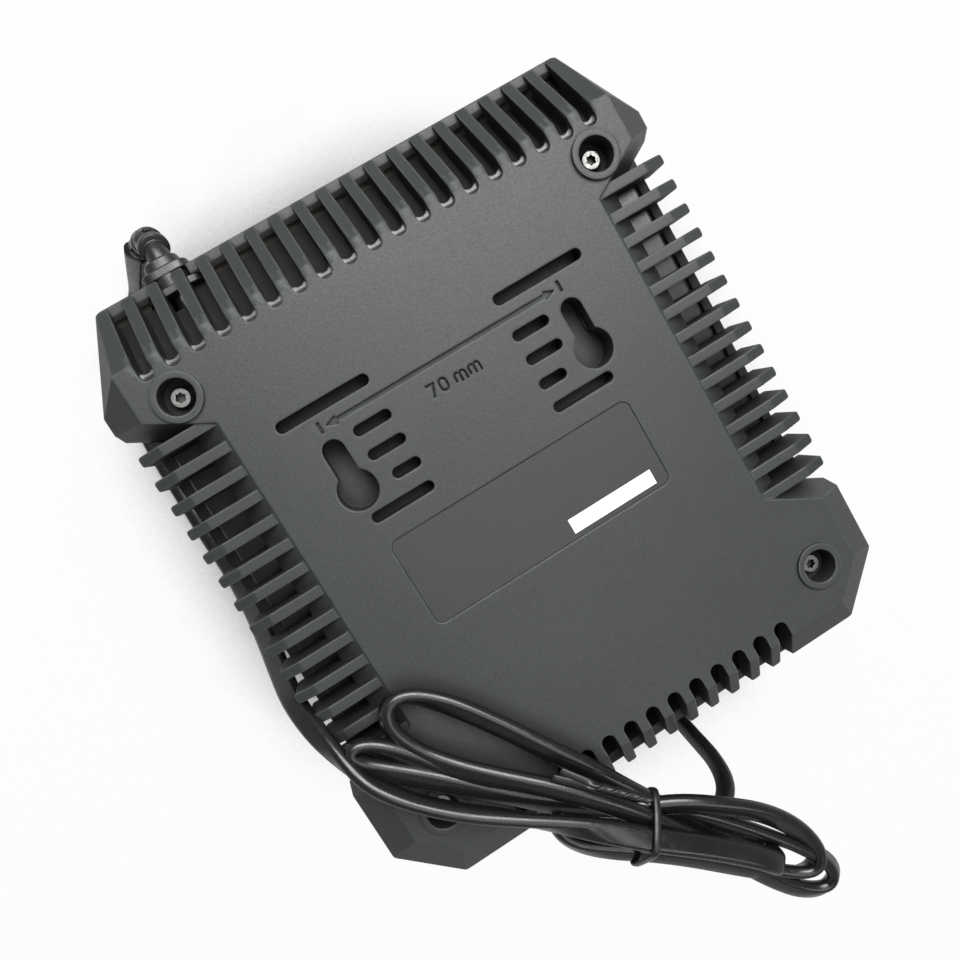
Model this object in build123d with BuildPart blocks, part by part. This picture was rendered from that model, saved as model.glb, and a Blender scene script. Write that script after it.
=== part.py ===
from build123d import *
import math
import os

# Slide-in battery charger, standing on its battery dock with the wall-mounting base plate on top.
# Millimetres. +Z up, +Y towards the mains cord end, origin under the middle of the housing.
os.makedirs("parts", exist_ok=True)

# ---- driving dimensions ---------------------------------------------------------------------
HEIGHT = 74.0            # floor to base plate
BODY_LENGTH = 175.0      # along Y, over both combs
BODY_WIDTH = 158.0       # along X, over the fin tips
WALL = 2.6               # moulded wall
SPLIT_DEPTH = 12.4       # parting plane of the two shells, below the base plate
SPLIT_Z = HEIGHT - SPLIT_DEPTH
PLATE_Y = -3.7           # middle of the four housing screws
SCREW_X = 59.8
SCREW_Y = 61.9
VENT_PITCH = 7.0         # every fin, rib and slot follows it
KEYHOLE_SPACING = 70.0
REAR_Y = BODY_LENGTH / 2
FRONT_Y = -BODY_LENGTH / 2
SIDE_X = BODY_WIDTH / 2

# base plate edges and the slopes that run down from them
EDGE_X = 70.2            # side slopes start here
SIDE_DROP = 7.4          # depth of the side slope at the fin tips
FRONT_EDGE_Y = PLATE_Y - 74.5
FRONT_DROP = 8.0
REAR_EDGE_Y = PLATE_Y + 73.5
FRONT_CHAMFER = 14.5     # plan chamfer of the two front corners
CORNER_R = 2.2           # upright corners of the housing
REAR_CHAMFER_X = 11.0
REAR_CHAMFER_Y = 24.0
RIB_DEPTH = 6.0          # thickness of the comb ribs under their slopes
RIB_FLOOR_X = 66.2       # half length of the floor under the rear ribs

# side bays that hold the fins
BAY_EDGE_X = 55.1
BAY_FRONT_Y = PLATE_Y - 38.0
BAY_REAR_Y = PLATE_Y + 52.0
BAY_SPREAD_Y = 8.5       # the bay grows by this at each end, out to EDGE_X
BAY_SLOPE = (7.1, 6.1)   # run and drop of the bay's long wall
WINDOW_X = 62.2          # outside this the bay is open to the inside
FIN_COUNT = 14
FIN_THICK = 2.8
FIN_SINK = 0.6           # fin tops below the base plate
FIN_TIP_X = 76.2
FIN_TIP_DROP = 1.9       # fall of the fin's top from EDGE_X to its tip
END_ROUND = 0.8          # rounded corners of the fins and ribs, seen from above
SHELF_TOP = SPLIT_Z - 1.4     # shelf of the dock shell below the side windows

# combs
REAR_SLOTS = 19
REAR_SLOT_WIDTH = 3.9
REAR_SLOT_Y = PLATE_Y + 68.5
FRONT_SLOTS = 13
FRONT_SLOT_WIDTH = 4.1
FRONT_SLOT_Y = PLATE_Y - 69.5

# screw rings
RING_R = 6.3
RING_PROUD = 1.0
HEAD_HOLE_R = 4.6
HEAD_SEAT_DEPTH = 6.0
SHANK_R = 1.5
SHANK_HOLE_R = 1.55
POST_R = 5.0

# keyholes and pockets in the base plate
POCKET_WALL = 1.6
POCKET_DEPTH = 5.5
KEYHOLE_DEPTH = 8.8
KEYHOLE_ENTRY_R = 5.3
KEYHOLE_NECK_R = 2.95
KEYHOLE_ENTRY_Y = PLATE_Y + 20.5
KEYHOLE_HANG_Y = PLATE_Y + 31.8
# middle x, middle y over PLATE_Y, length, width
POCKETS = {
    "upper": (31.3, 43.2, 26.0, 3.1),
    "step_1": (23.3, 33.0, 10.6, 2.9),
    "step_2": (23.3, 26.1, 10.6, 2.9),
    "step_3": (21.8, 19.1, 8.0, 2.9),
    "lower": (27.0, 12.2, 17.9, 2.9),
}
ARROW_Y = PLATE_Y + 38.2
LABEL_Y = PLATE_Y - 7.45
LABEL_WIDTH = 71.8
LABEL_LENGTH = 25.0

# dock side
FACE_Z = 12.0            # housing face around the raised dock
DOCK_HALF_WIDTH = 48.0
DOCK_FRONT_Y = -80.0
DOCK_REAR_Y = 57.0
CHANNEL_HALF_WIDTH = 36.0
CHANNEL_MOUTH = 30.0     # half width between the rail lips
CHANNEL_DEPTH = 20.0
CHANNEL_REAR_Y = 34.0
RAIL_THICK = 6.0

# board and what stands under it
BOARD_TOP = 57.8
BOARD_THICK = 1.6
BOARD_BOTTOM = BOARD_TOP - BOARD_THICK
BOARD_WIDTH = 106.0
BOARD_LENGTH = 118.0
BOARD_Y = PLATE_Y - 1.0
BOARD_SCREW_X = 48.0
BOARD_SCREW_Y = 52.0

# fan
FAN_X = 24.0
FAN_Z = 36.0
FAN_FRONT_Y = 66.5
FAN_DEPTH = 10.5
FAN_SIZE = 40.0
FAN_BORE_R = 19.0
FAN_SCREW_OFFSET = 16.0
BEARING_R = 1.05
AXLE_R = 1.0

# status lights
LIGHT_X = -14.0
LIGHT_Y = 68.0

# side walls of the dock shell step in behind the fins
STEP_DEPTH = 5.0
STEP_FRONT_Y = PLATE_Y - 45.0
STEP_REAR_Y = PLATE_Y + 60.0

# mains cord
GLAND_X = -48.2
GLAND_Z = 56.0
GLAND_R = 5.5
CORD_R = 2.5
CORD_FLOOR_Z = 2.7
CLAMP_Y = 71.0
CLAMP_SPREAD = 8.4
CLAMP_SEAT_Z = 55.0

SCREW_SPOTS = [(sx * SCREW_X, PLATE_Y + sy * SCREW_Y) for sx in (-1, 1) for sy in (-1, 1)]
BOARD_SPOTS = [(sx * BOARD_SCREW_X, BOARD_Y + sy * BOARD_SCREW_Y) for sx in (-1, 1) for sy in (-1, 1)]
CLAMP_SPOTS = [(GLAND_X + side * CLAMP_SPREAD, CLAMP_Y) for side in (-1, 1)]
FAN_SPOTS = [(FAN_X + sx * FAN_SCREW_OFFSET, FAN_Z + sz * FAN_SCREW_OFFSET) for sx in (-1, 1) for sz in (-1, 1)]


def save(piece, name):
    """Label a finished piece and write its STEP file."""
    piece.part.label = name
    export_step(piece.part, f"parts/{name}.step")


def slope_plane(point, normal, inset=0.0):
    """Plane through a point, moved inwards by inset."""
    direction = Vector(*normal).normalized()
    return Plane(origin=Vector(*point) - direction * inset, z_dir=direction)


def housing_outline(height):
    """Plan outline of the housing with rounded corners, as a face at one height."""
    right = [
        (SIDE_X - FRONT_CHAMFER, FRONT_Y),
        (SIDE_X, FRONT_Y + FRONT_CHAMFER),
        (SIDE_X, REAR_Y - REAR_CHAMFER_Y),
        (SIDE_X - REAR_CHAMFER_X, REAR_Y),
    ]
    with BuildSketch(Plane.XY.offset(height)) as outline:
        with BuildLine():
            Polyline(*right, *[(-x, y) for x, y in reversed(right)], close=True)
        make_face()
        fillet(outline.vertices(), CORNER_R)
    return outline.sketch


def split_all(planes):
    """Cut the part being built with each plane and keep what lies behind it."""
    for plane in planes:
        split(bisect_by=plane, keep=Keep.BOTTOM)


def base_form(inset=0.0, end_inset=0.0):
    """Solid outer form of the base shell, moved inwards by inset, and by end_inset at the combs."""
    corner_top = Vector(EDGE_X, REAR_EDGE_Y, HEIGHT)
    corner_side = Vector(SIDE_X, REAR_Y - REAR_CHAMFER_Y, HEIGHT - SIDE_DROP)
    corner_end = Vector(SIDE_X - REAR_CHAMFER_X, REAR_Y, SPLIT_Z)
    corner_normal = (corner_side - corner_top).cross(corner_end - corner_top)
    front_diagonal = SIDE_DROP / math.sqrt(2)
    planes = [
        slope_plane((0, FRONT_EDGE_Y, HEIGHT), (0, -FRONT_DROP, FRONT_EDGE_Y - FRONT_Y), end_inset),
        slope_plane((0, REAR_EDGE_Y, HEIGHT), (0, SPLIT_DEPTH, REAR_Y - REAR_EDGE_Y), end_inset),
    ]
    for side in (-1, 1):
        planes += [
            slope_plane((side * EDGE_X, 0, HEIGHT), (side * SIDE_DROP, 0, SIDE_X - EDGE_X), inset),
            slope_plane(
                (side * EDGE_X, PLATE_Y - 65.3, HEIGHT),
                (side * front_diagonal, -front_diagonal, SIDE_X - EDGE_X),
                inset,
            ),
            slope_plane(
                (side * EDGE_X, REAR_EDGE_Y, HEIGHT),
                (side * corner_normal.X, corner_normal.Y, corner_normal.Z),
                inset,
            ),
        ]
    with BuildPart() as form:
        with BuildSketch(Plane.XY.offset(SPLIT_Z)):
            add(housing_outline(0))
            if inset:
                offset(amount=-inset, kind=Kind.INTERSECTION)
        extrude(amount=SPLIT_DEPTH - inset)
        split_all(planes)
    return form.part


def bay_form(side, grow=0.0):
    """Space cut out of one side of the base shell for the fins, grown into the housing by grow."""
    run, drop = BAY_SLOPE
    spread = EDGE_X - BAY_EDGE_X
    end_lean = 5.1
    planes = [
        slope_plane((side * BAY_EDGE_X, 0, HEIGHT), (-side * drop, 0, -run), -grow),
        slope_plane(
            (side * BAY_EDGE_X, BAY_REAR_Y, HEIGHT),
            (-side * BAY_SPREAD_Y * SPLIT_DEPTH / spread, SPLIT_DEPTH, -end_lean),
            -grow,
        ),
        slope_plane(
            (side * BAY_EDGE_X, BAY_FRONT_Y, HEIGHT),
            (-side * BAY_SPREAD_Y * SPLIT_DEPTH / spread, -SPLIT_DEPTH, -end_lean),
            -grow,
        ),
    ]
    with BuildPart() as bay:
        with BuildSketch(Plane.XY.offset(SPLIT_Z - 1)):
            with Locations((side * 70, PLATE_Y + 7)):
                Rectangle(44, 140)
        extrude(amount=SPLIT_DEPTH + 2)
        split_all(planes)
    return bay.part


def comb_cutter(count, width, inner_y, outer_y, floor_z=SPLIT_Z - 1):
    """Row of open-ended slots with rounded inner ends, cut down to floor_z, as one cutting solid.

    The slots flare at their mouths, which rounds the ends of the ribs between them.
    """
    towards = 1 if outer_y > inner_y else -1
    reach = abs(outer_y - inner_y) + 6 - width / 2
    shoulder = width / 2 + END_ROUND
    with BuildPart() as cutter:
        with BuildSketch(Plane.XY.offset(floor_z)):
            for index in range(count):
                x = (index - (count - 1) / 2) * VENT_PITCH
                with Locations((x, outer_y)):
                    Rectangle(2 * shoulder, 2 * END_ROUND)
                with Locations(
                    (x - shoulder, outer_y - towards * END_ROUND), (x + shoulder, outer_y - towards * END_ROUND)
                ):
                    Circle(END_ROUND, mode=Mode.SUBTRACT)
                with Locations((x, inner_y + towards * width / 2)):
                    Circle(width / 2)
                with Locations((x, inner_y + towards * (width / 2 + reach / 2))):
                    Rectangle(width, reach)
        extrude(amount=HEIGHT + 1 - floor_z)
    return cutter.part


def spacing_figures(foot_y):
    """Sketch of the keyhole spacing in millimetres, in plain figures standing on foot_y."""
    with BuildSketch(Plane.XY.offset(HEIGHT)) as figures:
        # seven
        with Locations((-6.3, foot_y + 3.4)):
            Rectangle(2.5, 0.6)
        with BuildLine():
            Polyline(
                (-5.7, foot_y + 3.7), (-5.0, foot_y + 3.7), (-6.3, foot_y), (-7.0, foot_y), close=True
            )
        make_face()
        # nought
        with Locations((-3.1, foot_y + 1.85)):
            SlotOverall(3.7, 2.5, rotation=90)
            SlotOverall(2.5, 1.3, rotation=90, mode=Mode.SUBTRACT)
        # the two letters of the unit, each three stems under two arches
        for left in (0.2, 4.3):
            with Locations((left + 0.75, foot_y + 1.9), (left + 2.25, foot_y + 1.9)):
                Circle(1.0)
                Circle(0.45, mode=Mode.SUBTRACT)
            with Locations((left + 1.5, foot_y + 0.95)):
                Rectangle(3.6, 1.9, mode=Mode.SUBTRACT)
            with Locations(
                (left, foot_y + 1.4), (left + 1.5, foot_y + 1.0), (left + 3.0, foot_y + 1.0)
            ):
                Rectangle(0.55, 2.0)
    return figures.sketch


base_outer = base_form()
base_inner = base_form(WALL, RIB_DEPTH)
bays = [bay_form(-1), bay_form(1)]
grown_bays = [bay_form(-1, WALL), bay_form(1, WALL)]
rear_comb = comb_cutter(REAR_SLOTS, REAR_SLOT_WIDTH, REAR_SLOT_Y + 1.9, REAR_Y)
rear_comb_mouth = comb_cutter(REAR_SLOTS, REAR_SLOT_WIDTH, REAR_SLOT_Y, REAR_Y, HEIGHT - 1.9)
front_comb = comb_cutter(FRONT_SLOTS, FRONT_SLOT_WIDTH, FRONT_SLOT_Y, FRONT_Y)

with BuildPart() as base_cavity:
    add(base_inner)
    for bay in grown_bays:
        add(bay, mode=Mode.SUBTRACT)

# cooling fins, each a thin plate with a rounded tip that stands out of the bay's long wall
with BuildPart() as fins:
    fin_rows = [PLATE_Y + 53.0 - index * VENT_PITCH for index in range(FIN_COUNT)]
    for side in (-1, 1):
        with BuildSketch(Plane.XZ.offset(-fin_rows[0] - FIN_THICK)):
            with BuildLine():
                Polyline(
                    (side * (BAY_EDGE_X + 0.5), HEIGHT - FIN_SINK),
                    (side * EDGE_X, HEIGHT - FIN_SINK),
                    (side * FIN_TIP_X, HEIGHT - FIN_SINK - FIN_TIP_DROP),
                    (side * FIN_TIP_X, SPLIT_Z),
                    (side * (WINDOW_X + 1), SPLIT_Z),
                    (side * (BAY_EDGE_X + 0.5), HEIGHT - WALL - 1),
                    close=True,
                )
            make_face()
        extrude(amount=fin_rows[0] - fin_rows[-1] + 2 * FIN_THICK)
    with BuildSketch(Plane.XY.offset(SPLIT_Z)):
        with Locations([(0, fin_y) for fin_y in fin_rows]):
            RectangleRounded(2 * FIN_TIP_X, FIN_THICK, END_ROUND)
    extrude(amount=SPLIT_DEPTH, mode=Mode.INTERSECT)

# ---- base shell -----------------------------------------------------------------------------
with BuildPart() as base_shell:
    add(base_outer)
    for bay in bays:
        add(bay, mode=Mode.SUBTRACT)
    add(base_cavity.part, mode=Mode.SUBTRACT)
    for side in (-1, 1):
        window_middle = (BAY_FRONT_Y + BAY_REAR_Y) / 2
        with Locations((side * (WINDOW_X + 15), window_middle, SPLIT_Z + 5)):
            Box(30, BAY_REAR_Y - BAY_FRONT_Y, SPLIT_DEPTH + 8, mode=Mode.SUBTRACT)
    add(rear_comb, mode=Mode.SUBTRACT)
    add(rear_comb_mouth, mode=Mode.SUBTRACT)
    add(front_comb, mode=Mode.SUBTRACT)

    add(fins.part)

    # floor under the ribs of the rear comb, out to the rim of the dock shell
    slope_run, floor_end = REAR_Y - REAR_EDGE_Y, REAR_Y - WALL - 0.2
    slope_length = math.hypot(slope_run, SPLIT_DEPTH)
    with BuildSketch(Plane.YZ.offset(-RIB_FLOOR_X)):
        with BuildLine():
            Polyline(
                *[
                    (y, HEIGHT - (y - REAR_EDGE_Y) * SPLIT_DEPTH / slope_run - depth * slope_length / slope_run)
                    for y, depth in (
                        (REAR_SLOT_Y - 1.5, RIB_DEPTH + 1.0), (floor_end, RIB_DEPTH + 1.0),
                        (floor_end, RIB_DEPTH - 0.2), (REAR_SLOT_Y - 1.5, RIB_DEPTH - 0.2),
                    )
                ],
                close=True,
            )
        make_face()
    extrude(amount=2 * RIB_FLOOR_X)
    # notches in that floor over the cord and the inner flange of its gland
    with Locations((GLAND_X, floor_end - 3.6, SPLIT_Z - 5.1)):
        Box(2 * CORD_R + 1.2, 5, 10, mode=Mode.SUBTRACT)
    with Locations((GLAND_X, floor_end - 0.9, SPLIT_Z - 5.1)):
        Box(15.8, 2.6, 10, mode=Mode.SUBTRACT)

    # screw rings
    with BuildSketch(Plane.XY.offset(SPLIT_Z)):
        with Locations(SCREW_SPOTS):
            Circle(RING_R)
    extrude(amount=SPLIT_DEPTH + RING_PROUD)
    with BuildSketch(Plane.XY.offset(HEIGHT + RING_PROUD)):
        with Locations(SCREW_SPOTS):
            Circle(HEAD_HOLE_R)
    extrude(amount=-HEAD_SEAT_DEPTH - RING_PROUD, mode=Mode.SUBTRACT)
    with BuildSketch(Plane.XY.offset(HEIGHT)):
        with Locations(SCREW_SPOTS):
            Circle(SHANK_HOLE_R)
    extrude(amount=-SPLIT_DEPTH - 1, mode=Mode.SUBTRACT)

    # blind pockets and keyholes: first their walls behind the plate, then their hollows
    for grow, start, depth, mode in (
        (POCKET_WALL, HEIGHT - WALL, POCKET_WALL - WALL, Mode.ADD),
        (0, HEIGHT, 0, Mode.SUBTRACT),
    ):
        with BuildSketch(Plane.XY.offset(start)):
            for x, y, length, width in POCKETS.values():
                with Locations((-x, PLATE_Y + y), (x, PLATE_Y + y)):
                    SlotOverall(length + 2 * grow, width + 2 * grow)
        extrude(amount=-POCKET_DEPTH - depth, mode=mode)
        with BuildSketch(Plane.XY.offset(start)):
            for side in (-1, 1):
                middle_y = (KEYHOLE_ENTRY_Y + KEYHOLE_HANG_Y) / 2
                with Locations((side * KEYHOLE_SPACING / 2, KEYHOLE_ENTRY_Y)):
                    Circle(KEYHOLE_ENTRY_R + grow)
                with Locations((side * KEYHOLE_SPACING / 2, middle_y)):
                    SlotCenterToCenter(
                        KEYHOLE_HANG_Y - KEYHOLE_ENTRY_Y, 2 * (KEYHOLE_NECK_R + grow), rotation=90
                    )
        extrude(amount=-KEYHOLE_DEPTH - depth, mode=mode)
    # a core pin leaves a small window in each keyhole's side
    for side in (-1, 1):
        with Locations((side * KEYHOLE_SPACING / 2 + KEYHOLE_NECK_R + 0.8, PLATE_Y + 27.4, HEIGHT - 6.0)):
            Box(4.2, 4.4, 3.2, mode=Mode.SUBTRACT)

    # engraved spacing mark between the keyholes
    with BuildSketch(Plane.XY.offset(HEIGHT)):
        with Locations((0, ARROW_Y)):
            Rectangle(KEYHOLE_SPACING - 8, 1.1)
        for side in (-1, 1):
            with Locations((side * KEYHOLE_SPACING / 2, ARROW_Y + 0.2)):
                Rectangle(0.9, 3.0)
            with BuildLine():
                Polyline(
                    (side * 33.6, ARROW_Y), (side * 30.4, ARROW_Y + 1.2), (side * 30.4, ARROW_Y - 1.2),
                    close=True,
                )
            make_face()
    extrude(amount=-0.8, mode=Mode.SUBTRACT)
    extrude(spacing_figures(PLATE_Y + 30.3), amount=-0.8, mode=Mode.SUBTRACT)

    # recess for the rating label
    with BuildSketch(Plane.XY.offset(HEIGHT)):
        with Locations((0, LABEL_Y)):
            RectangleRounded(LABEL_WIDTH, LABEL_LENGTH, 2.5)
    extrude(amount=-0.3, mode=Mode.SUBTRACT)

    # posts that carry the circuit board
    with BuildSketch(Plane.XY.offset(HEIGHT - WALL)):
        with Locations(BOARD_SPOTS):
            Circle(3.2)
    extrude(amount=BOARD_TOP - HEIGHT + WALL)
    with BuildSketch(Plane.XY.offset(BOARD_TOP)):
        with Locations(BOARD_SPOTS):
            Circle(1.1)
    extrude(amount=10, mode=Mode.SUBTRACT)
save(base_shell, "base_shell")

with BuildPart() as rating_label:
    with BuildSketch(Plane.XY.offset(HEIGHT - 0.3)):
        with Locations((0, LABEL_Y)):
            RectangleRounded(LABEL_WIDTH - 0.6, LABEL_LENGTH - 0.6, 2.2)
    extrude(amount=0.25)
save(rating_label, "rating_label")


# ---- dock shell -----------------------------------------------------------------------------
def dock_form(inset=0.0):
    """Solid outer form of the dock shell between its face and the parting plane."""
    planes = [
        slope_plane((0, FRONT_Y, 32), (0, -20.0, -8.0), inset),
        slope_plane((0, REAR_Y, 32), (0, 20.0, -8.0), inset),
    ]
    for side in (-1, 1):
        planes.append(slope_plane((side * SIDE_X, 0, 34), (side * 22.0, 0, -13.0), inset))
    with BuildPart() as form:
        with BuildSketch(Plane.XY.offset(FACE_Z + inset)):
            add(housing_outline(0))
            for side in (-1, 1):
                with BuildLine():
                    Polyline(
                        (side * (SIDE_X + 1), STEP_FRONT_Y - STEP_DEPTH - 1),
                        (side * (SIDE_X - STEP_DEPTH), STEP_FRONT_Y),
                        (side * (SIDE_X - STEP_DEPTH), STEP_REAR_Y),
                        (side * (SIDE_X + 1), STEP_REAR_Y + STEP_DEPTH + 1),
                        close=True,
                    )
                make_face(mode=Mode.SUBTRACT)
            if inset:
                offset(amount=-inset, kind=Kind.INTERSECTION)
        extrude(amount=SPLIT_Z - FACE_Z - inset)
        split_all(planes)
    return form.part


dock_outer = dock_form()
dock_inner = dock_form(WALL)

with BuildPart() as dock_cavity:
    add(dock_inner)
    # the battery channel's own walls stand inside the cavity
    with Locations((0, (FRONT_Y + CHANNEL_REAR_Y) / 2, CHANNEL_DEPTH / 2)):
        Box(
            2 * (CHANNEL_HALF_WIDTH + WALL),
            CHANNEL_REAR_Y - FRONT_Y + 2 * WALL,
            CHANNEL_DEPTH + 2 * WALL,
            mode=Mode.SUBTRACT,
        )
    # cores that hollow out the raised dock
    core_x = (CHANNEL_HALF_WIDTH + DOCK_HALF_WIDTH) / 2
    core_width = DOCK_HALF_WIDTH - CHANNEL_HALF_WIDTH - 2 * WALL
    core_length = DOCK_REAR_Y - DOCK_FRONT_Y - 2 * WALL
    with Locations((-core_x, (DOCK_FRONT_Y + DOCK_REAR_Y) / 2, 9), (core_x, (DOCK_FRONT_Y + DOCK_REAR_Y) / 2, 9)):
        Box(core_width, core_length, 12)
    rear_core_y = (CHANNEL_REAR_Y + DOCK_REAR_Y) / 2
    with Locations((0, rear_core_y, 9)):
        Box(2 * (DOCK_HALF_WIDTH - WALL), DOCK_REAR_Y - CHANNEL_REAR_Y - 2 * WALL, 12)

with BuildPart() as fan_bosses:
    with BuildSketch(Plane.XZ.offset(-FAN_FRONT_Y - FAN_DEPTH)):
        with Locations(FAN_SPOTS):
            Circle(3.0)
    extrude(amount=-(REAR_Y - FAN_FRONT_Y - FAN_DEPTH))
    add(dock_outer, mode=Mode.INTERSECT)

with BuildPart() as dock_shell:
    add(dock_outer)
    with BuildSketch():
        with Locations((0, (DOCK_FRONT_Y + DOCK_REAR_Y) / 2)):
            RectangleRounded(2 * DOCK_HALF_WIDTH, DOCK_REAR_Y - DOCK_FRONT_Y, 6)
    extrude(amount=FACE_Z + 1)
    add(dock_cavity.part, mode=Mode.SUBTRACT)

    # shelves below the side windows; air passes over their inner edges
    with Locations([(side * (SIDE_X - STEP_DEPTH - 7), (BAY_FRONT_Y + BAY_REAR_Y) / 2, SHELF_TOP) for side in (-1, 1)]):
        Box(14, BAY_REAR_Y - BAY_FRONT_Y, 1.6, align=(Align.CENTER, Align.CENTER, Align.MAX))

    # posts under the housing screws, and lower ones under the cord clamp
    for spots, radius, top in ((SCREW_SPOTS, POST_R, SPLIT_Z), (CLAMP_SPOTS, 3.2, CLAMP_SEAT_Z)):
        with BuildSketch(Plane.XY.offset(FACE_Z + 1)):
            with Locations(spots):
                Circle(radius)
        extrude(amount=top - FACE_Z - 1)
    for spots, radius, top, depth in (
        (SCREW_SPOTS, SHANK_HOLE_R, SPLIT_Z, 14.0), (CLAMP_SPOTS, 1.05, CLAMP_SEAT_Z, 9.0)
    ):
        with BuildSketch(Plane.XY.offset(top)):
            with Locations(spots):
                Circle(radius)
        extrude(amount=-depth, mode=Mode.SUBTRACT)

    # battery channel: wide groove above, narrow mouth between the rail lips
    channel_length = CHANNEL_REAR_Y - FRONT_Y + 10
    channel_y = CHANNEL_REAR_Y - channel_length / 2
    with Locations((0, channel_y, (CHANNEL_DEPTH + RAIL_THICK) / 2)):
        Box(2 * CHANNEL_HALF_WIDTH, channel_length, CHANNEL_DEPTH - RAIL_THICK, mode=Mode.SUBTRACT)
    with Locations((0, channel_y, RAIL_THICK / 2)):
        Box(2 * CHANNEL_MOUTH, channel_length, RAIL_THICK, mode=Mode.SUBTRACT)
    # latch notch for the battery's catch
    with Locations((0, CHANNEL_REAR_Y + 6, 3)):
        Box(24, 12.5, 6, mode=Mode.SUBTRACT)
    # window for the terminal block
    with Locations((0, CHANNEL_REAR_Y + WALL / 2, 13)):
        Box(40.4, WALL + 1, 10.4, mode=Mode.SUBTRACT)

    # window for the light pipe, in the face behind the dock
    with Locations((LIGHT_X, LIGHT_Y, FACE_Z + WALL / 2)):
        Box(24.2, 5.2, WALL + 1, mode=Mode.SUBTRACT)

    # U-shaped notch that takes the cord's gland
    with BuildSketch(Plane.XZ.offset(-REAR_Y - 1)):
        with Locations((GLAND_X, GLAND_Z)):
            Circle(GLAND_R)
        with Locations((GLAND_X, GLAND_Z + 5)):
            Rectangle(2 * GLAND_R, 10)
    extrude(amount=WALL + 3, mode=Mode.SUBTRACT)

    # fan bosses and the exhaust slots behind the fan
    add(fan_bosses.part)
    with BuildSketch(Plane.XZ.offset(-FAN_FRONT_Y - FAN_DEPTH)):
        with Locations(FAN_SPOTS):
            Circle(1.05)
    extrude(amount=-3.4, mode=Mode.SUBTRACT)
    with BuildSketch(Plane.XZ.offset(-REAR_Y - 1)):
        for row in range(-3, 4):
            chord = 2 * math.sqrt(FAN_BORE_R ** 2 - (row * 5.0) ** 2)
            with Locations((FAN_X, FAN_Z + row * 5.0)):
                SlotOverall(chord - 4, 2.6)
    extrude(amount=WALL + 3, mode=Mode.SUBTRACT)
save(dock_shell, "dock_shell")

with BuildPart() as light_pipe:
    with Locations((LIGHT_X, LIGHT_Y, FACE_Z - 0.4)):
        Box(24.0, 5.0, WALL + 0.4, align=(Align.CENTER, Align.CENTER, Align.MIN))
    with Locations((LIGHT_X, LIGHT_Y, FACE_Z + WALL)):
        Box(27.0, 8.0, 1.2, align=(Align.CENTER, Align.CENTER, Align.MIN))
save(light_pipe, "light_pipe")

with BuildPart() as status_leds:
    with BuildSketch(Plane.XY.offset(FACE_Z + WALL + 1.4)):
        with Locations((LIGHT_X - 7, LIGHT_Y), (LIGHT_X + 7, LIGHT_Y)):
            Circle(1.5)
    extrude(amount=3.6)
save(status_leds, "status_leds")

with BuildPart() as led_board:
    with Locations((LIGHT_X, LIGHT_Y, FACE_Z + WALL + 5.0)):
        Box(30, 9, 1.2, align=(Align.CENTER, Align.CENTER, Align.MIN))
save(led_board, "led_board")


# ---- fasteners ------------------------------------------------------------------------------
def screw_group(spots, head_plane_z, head_r, head_h, shank_r, shank_length, drive_r, upright=1):
    """Like screws standing along Z at the given spots; upright is -1 for screws driven from below."""
    with BuildPart() as screws:
        with BuildSketch(Plane.XY.offset(head_plane_z)):
            with Locations(spots):
                Circle(head_r)
        extrude(amount=upright * head_h)
        with BuildSketch(Plane.XY.offset(head_plane_z)):
            with Locations(spots):
                Circle(shank_r)
        extrude(amount=-upright * shank_length)
        with BuildSketch(Plane.XY.offset(head_plane_z + upright * head_h)):
            with Locations(spots):
                RegularPolygon(drive_r, 6)
        extrude(amount=-upright * head_h * 0.6, mode=Mode.SUBTRACT)
    return screws


housing_screws = screw_group(SCREW_SPOTS, HEIGHT - HEAD_SEAT_DEPTH, 2.7, 2.4, SHANK_R, 17.0, 1.45)
save(housing_screws, "housing_screws")
board_screws = screw_group(BOARD_SPOTS, BOARD_BOTTOM, 2.4, 1.6, 1.0, 9.0, 0.9, upright=-1)
save(board_screws, "board_screws")

# ---- circuit board and its parts ------------------------------------------------------------
with BuildPart() as circuit_board:
    with BuildSketch(Plane.XY.offset(BOARD_BOTTOM)):
        with Locations((0, BOARD_Y)):
            RectangleRounded(BOARD_WIDTH, BOARD_LENGTH, 2)
        with Locations(BOARD_SPOTS):
            Circle(1.2, mode=Mode.SUBTRACT)
    extrude(amount=BOARD_THICK)
save(circuit_board, "circuit_board")


def standing_box(x, y, width, length, height, radius=0.0):
    """Box that hangs from the underside of the board, with rounded upright edges."""
    with BuildPart() as piece:
        with BuildSketch(Plane.XY.offset(BOARD_BOTTOM)):
            with Locations((x, y)):
                if radius:
                    RectangleRounded(width, length, radius)
                else:
                    Rectangle(width, length)
        extrude(amount=-height)
    return piece


def standing_can(spots, radius, height):
    """Round parts that hang from the underside of the board, with a crimped rim."""
    with BuildPart() as piece:
        with BuildSketch(Plane.XY.offset(BOARD_BOTTOM)):
            with Locations(spots):
                Circle(radius)
        extrude(amount=-height)
        fillet(piece.faces().sort_by(Axis.Z)[: len(spots)].edges(), radius * 0.12)
        for depth in (2.0, 3.2):
            with BuildSketch(Plane.XY.offset(BOARD_BOTTOM - depth)):
                with Locations(spots):
                    Circle(radius)
                    Circle(radius - 0.4, mode=Mode.SUBTRACT)
            extrude(amount=-0.5, mode=Mode.SUBTRACT)
    return piece


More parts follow.
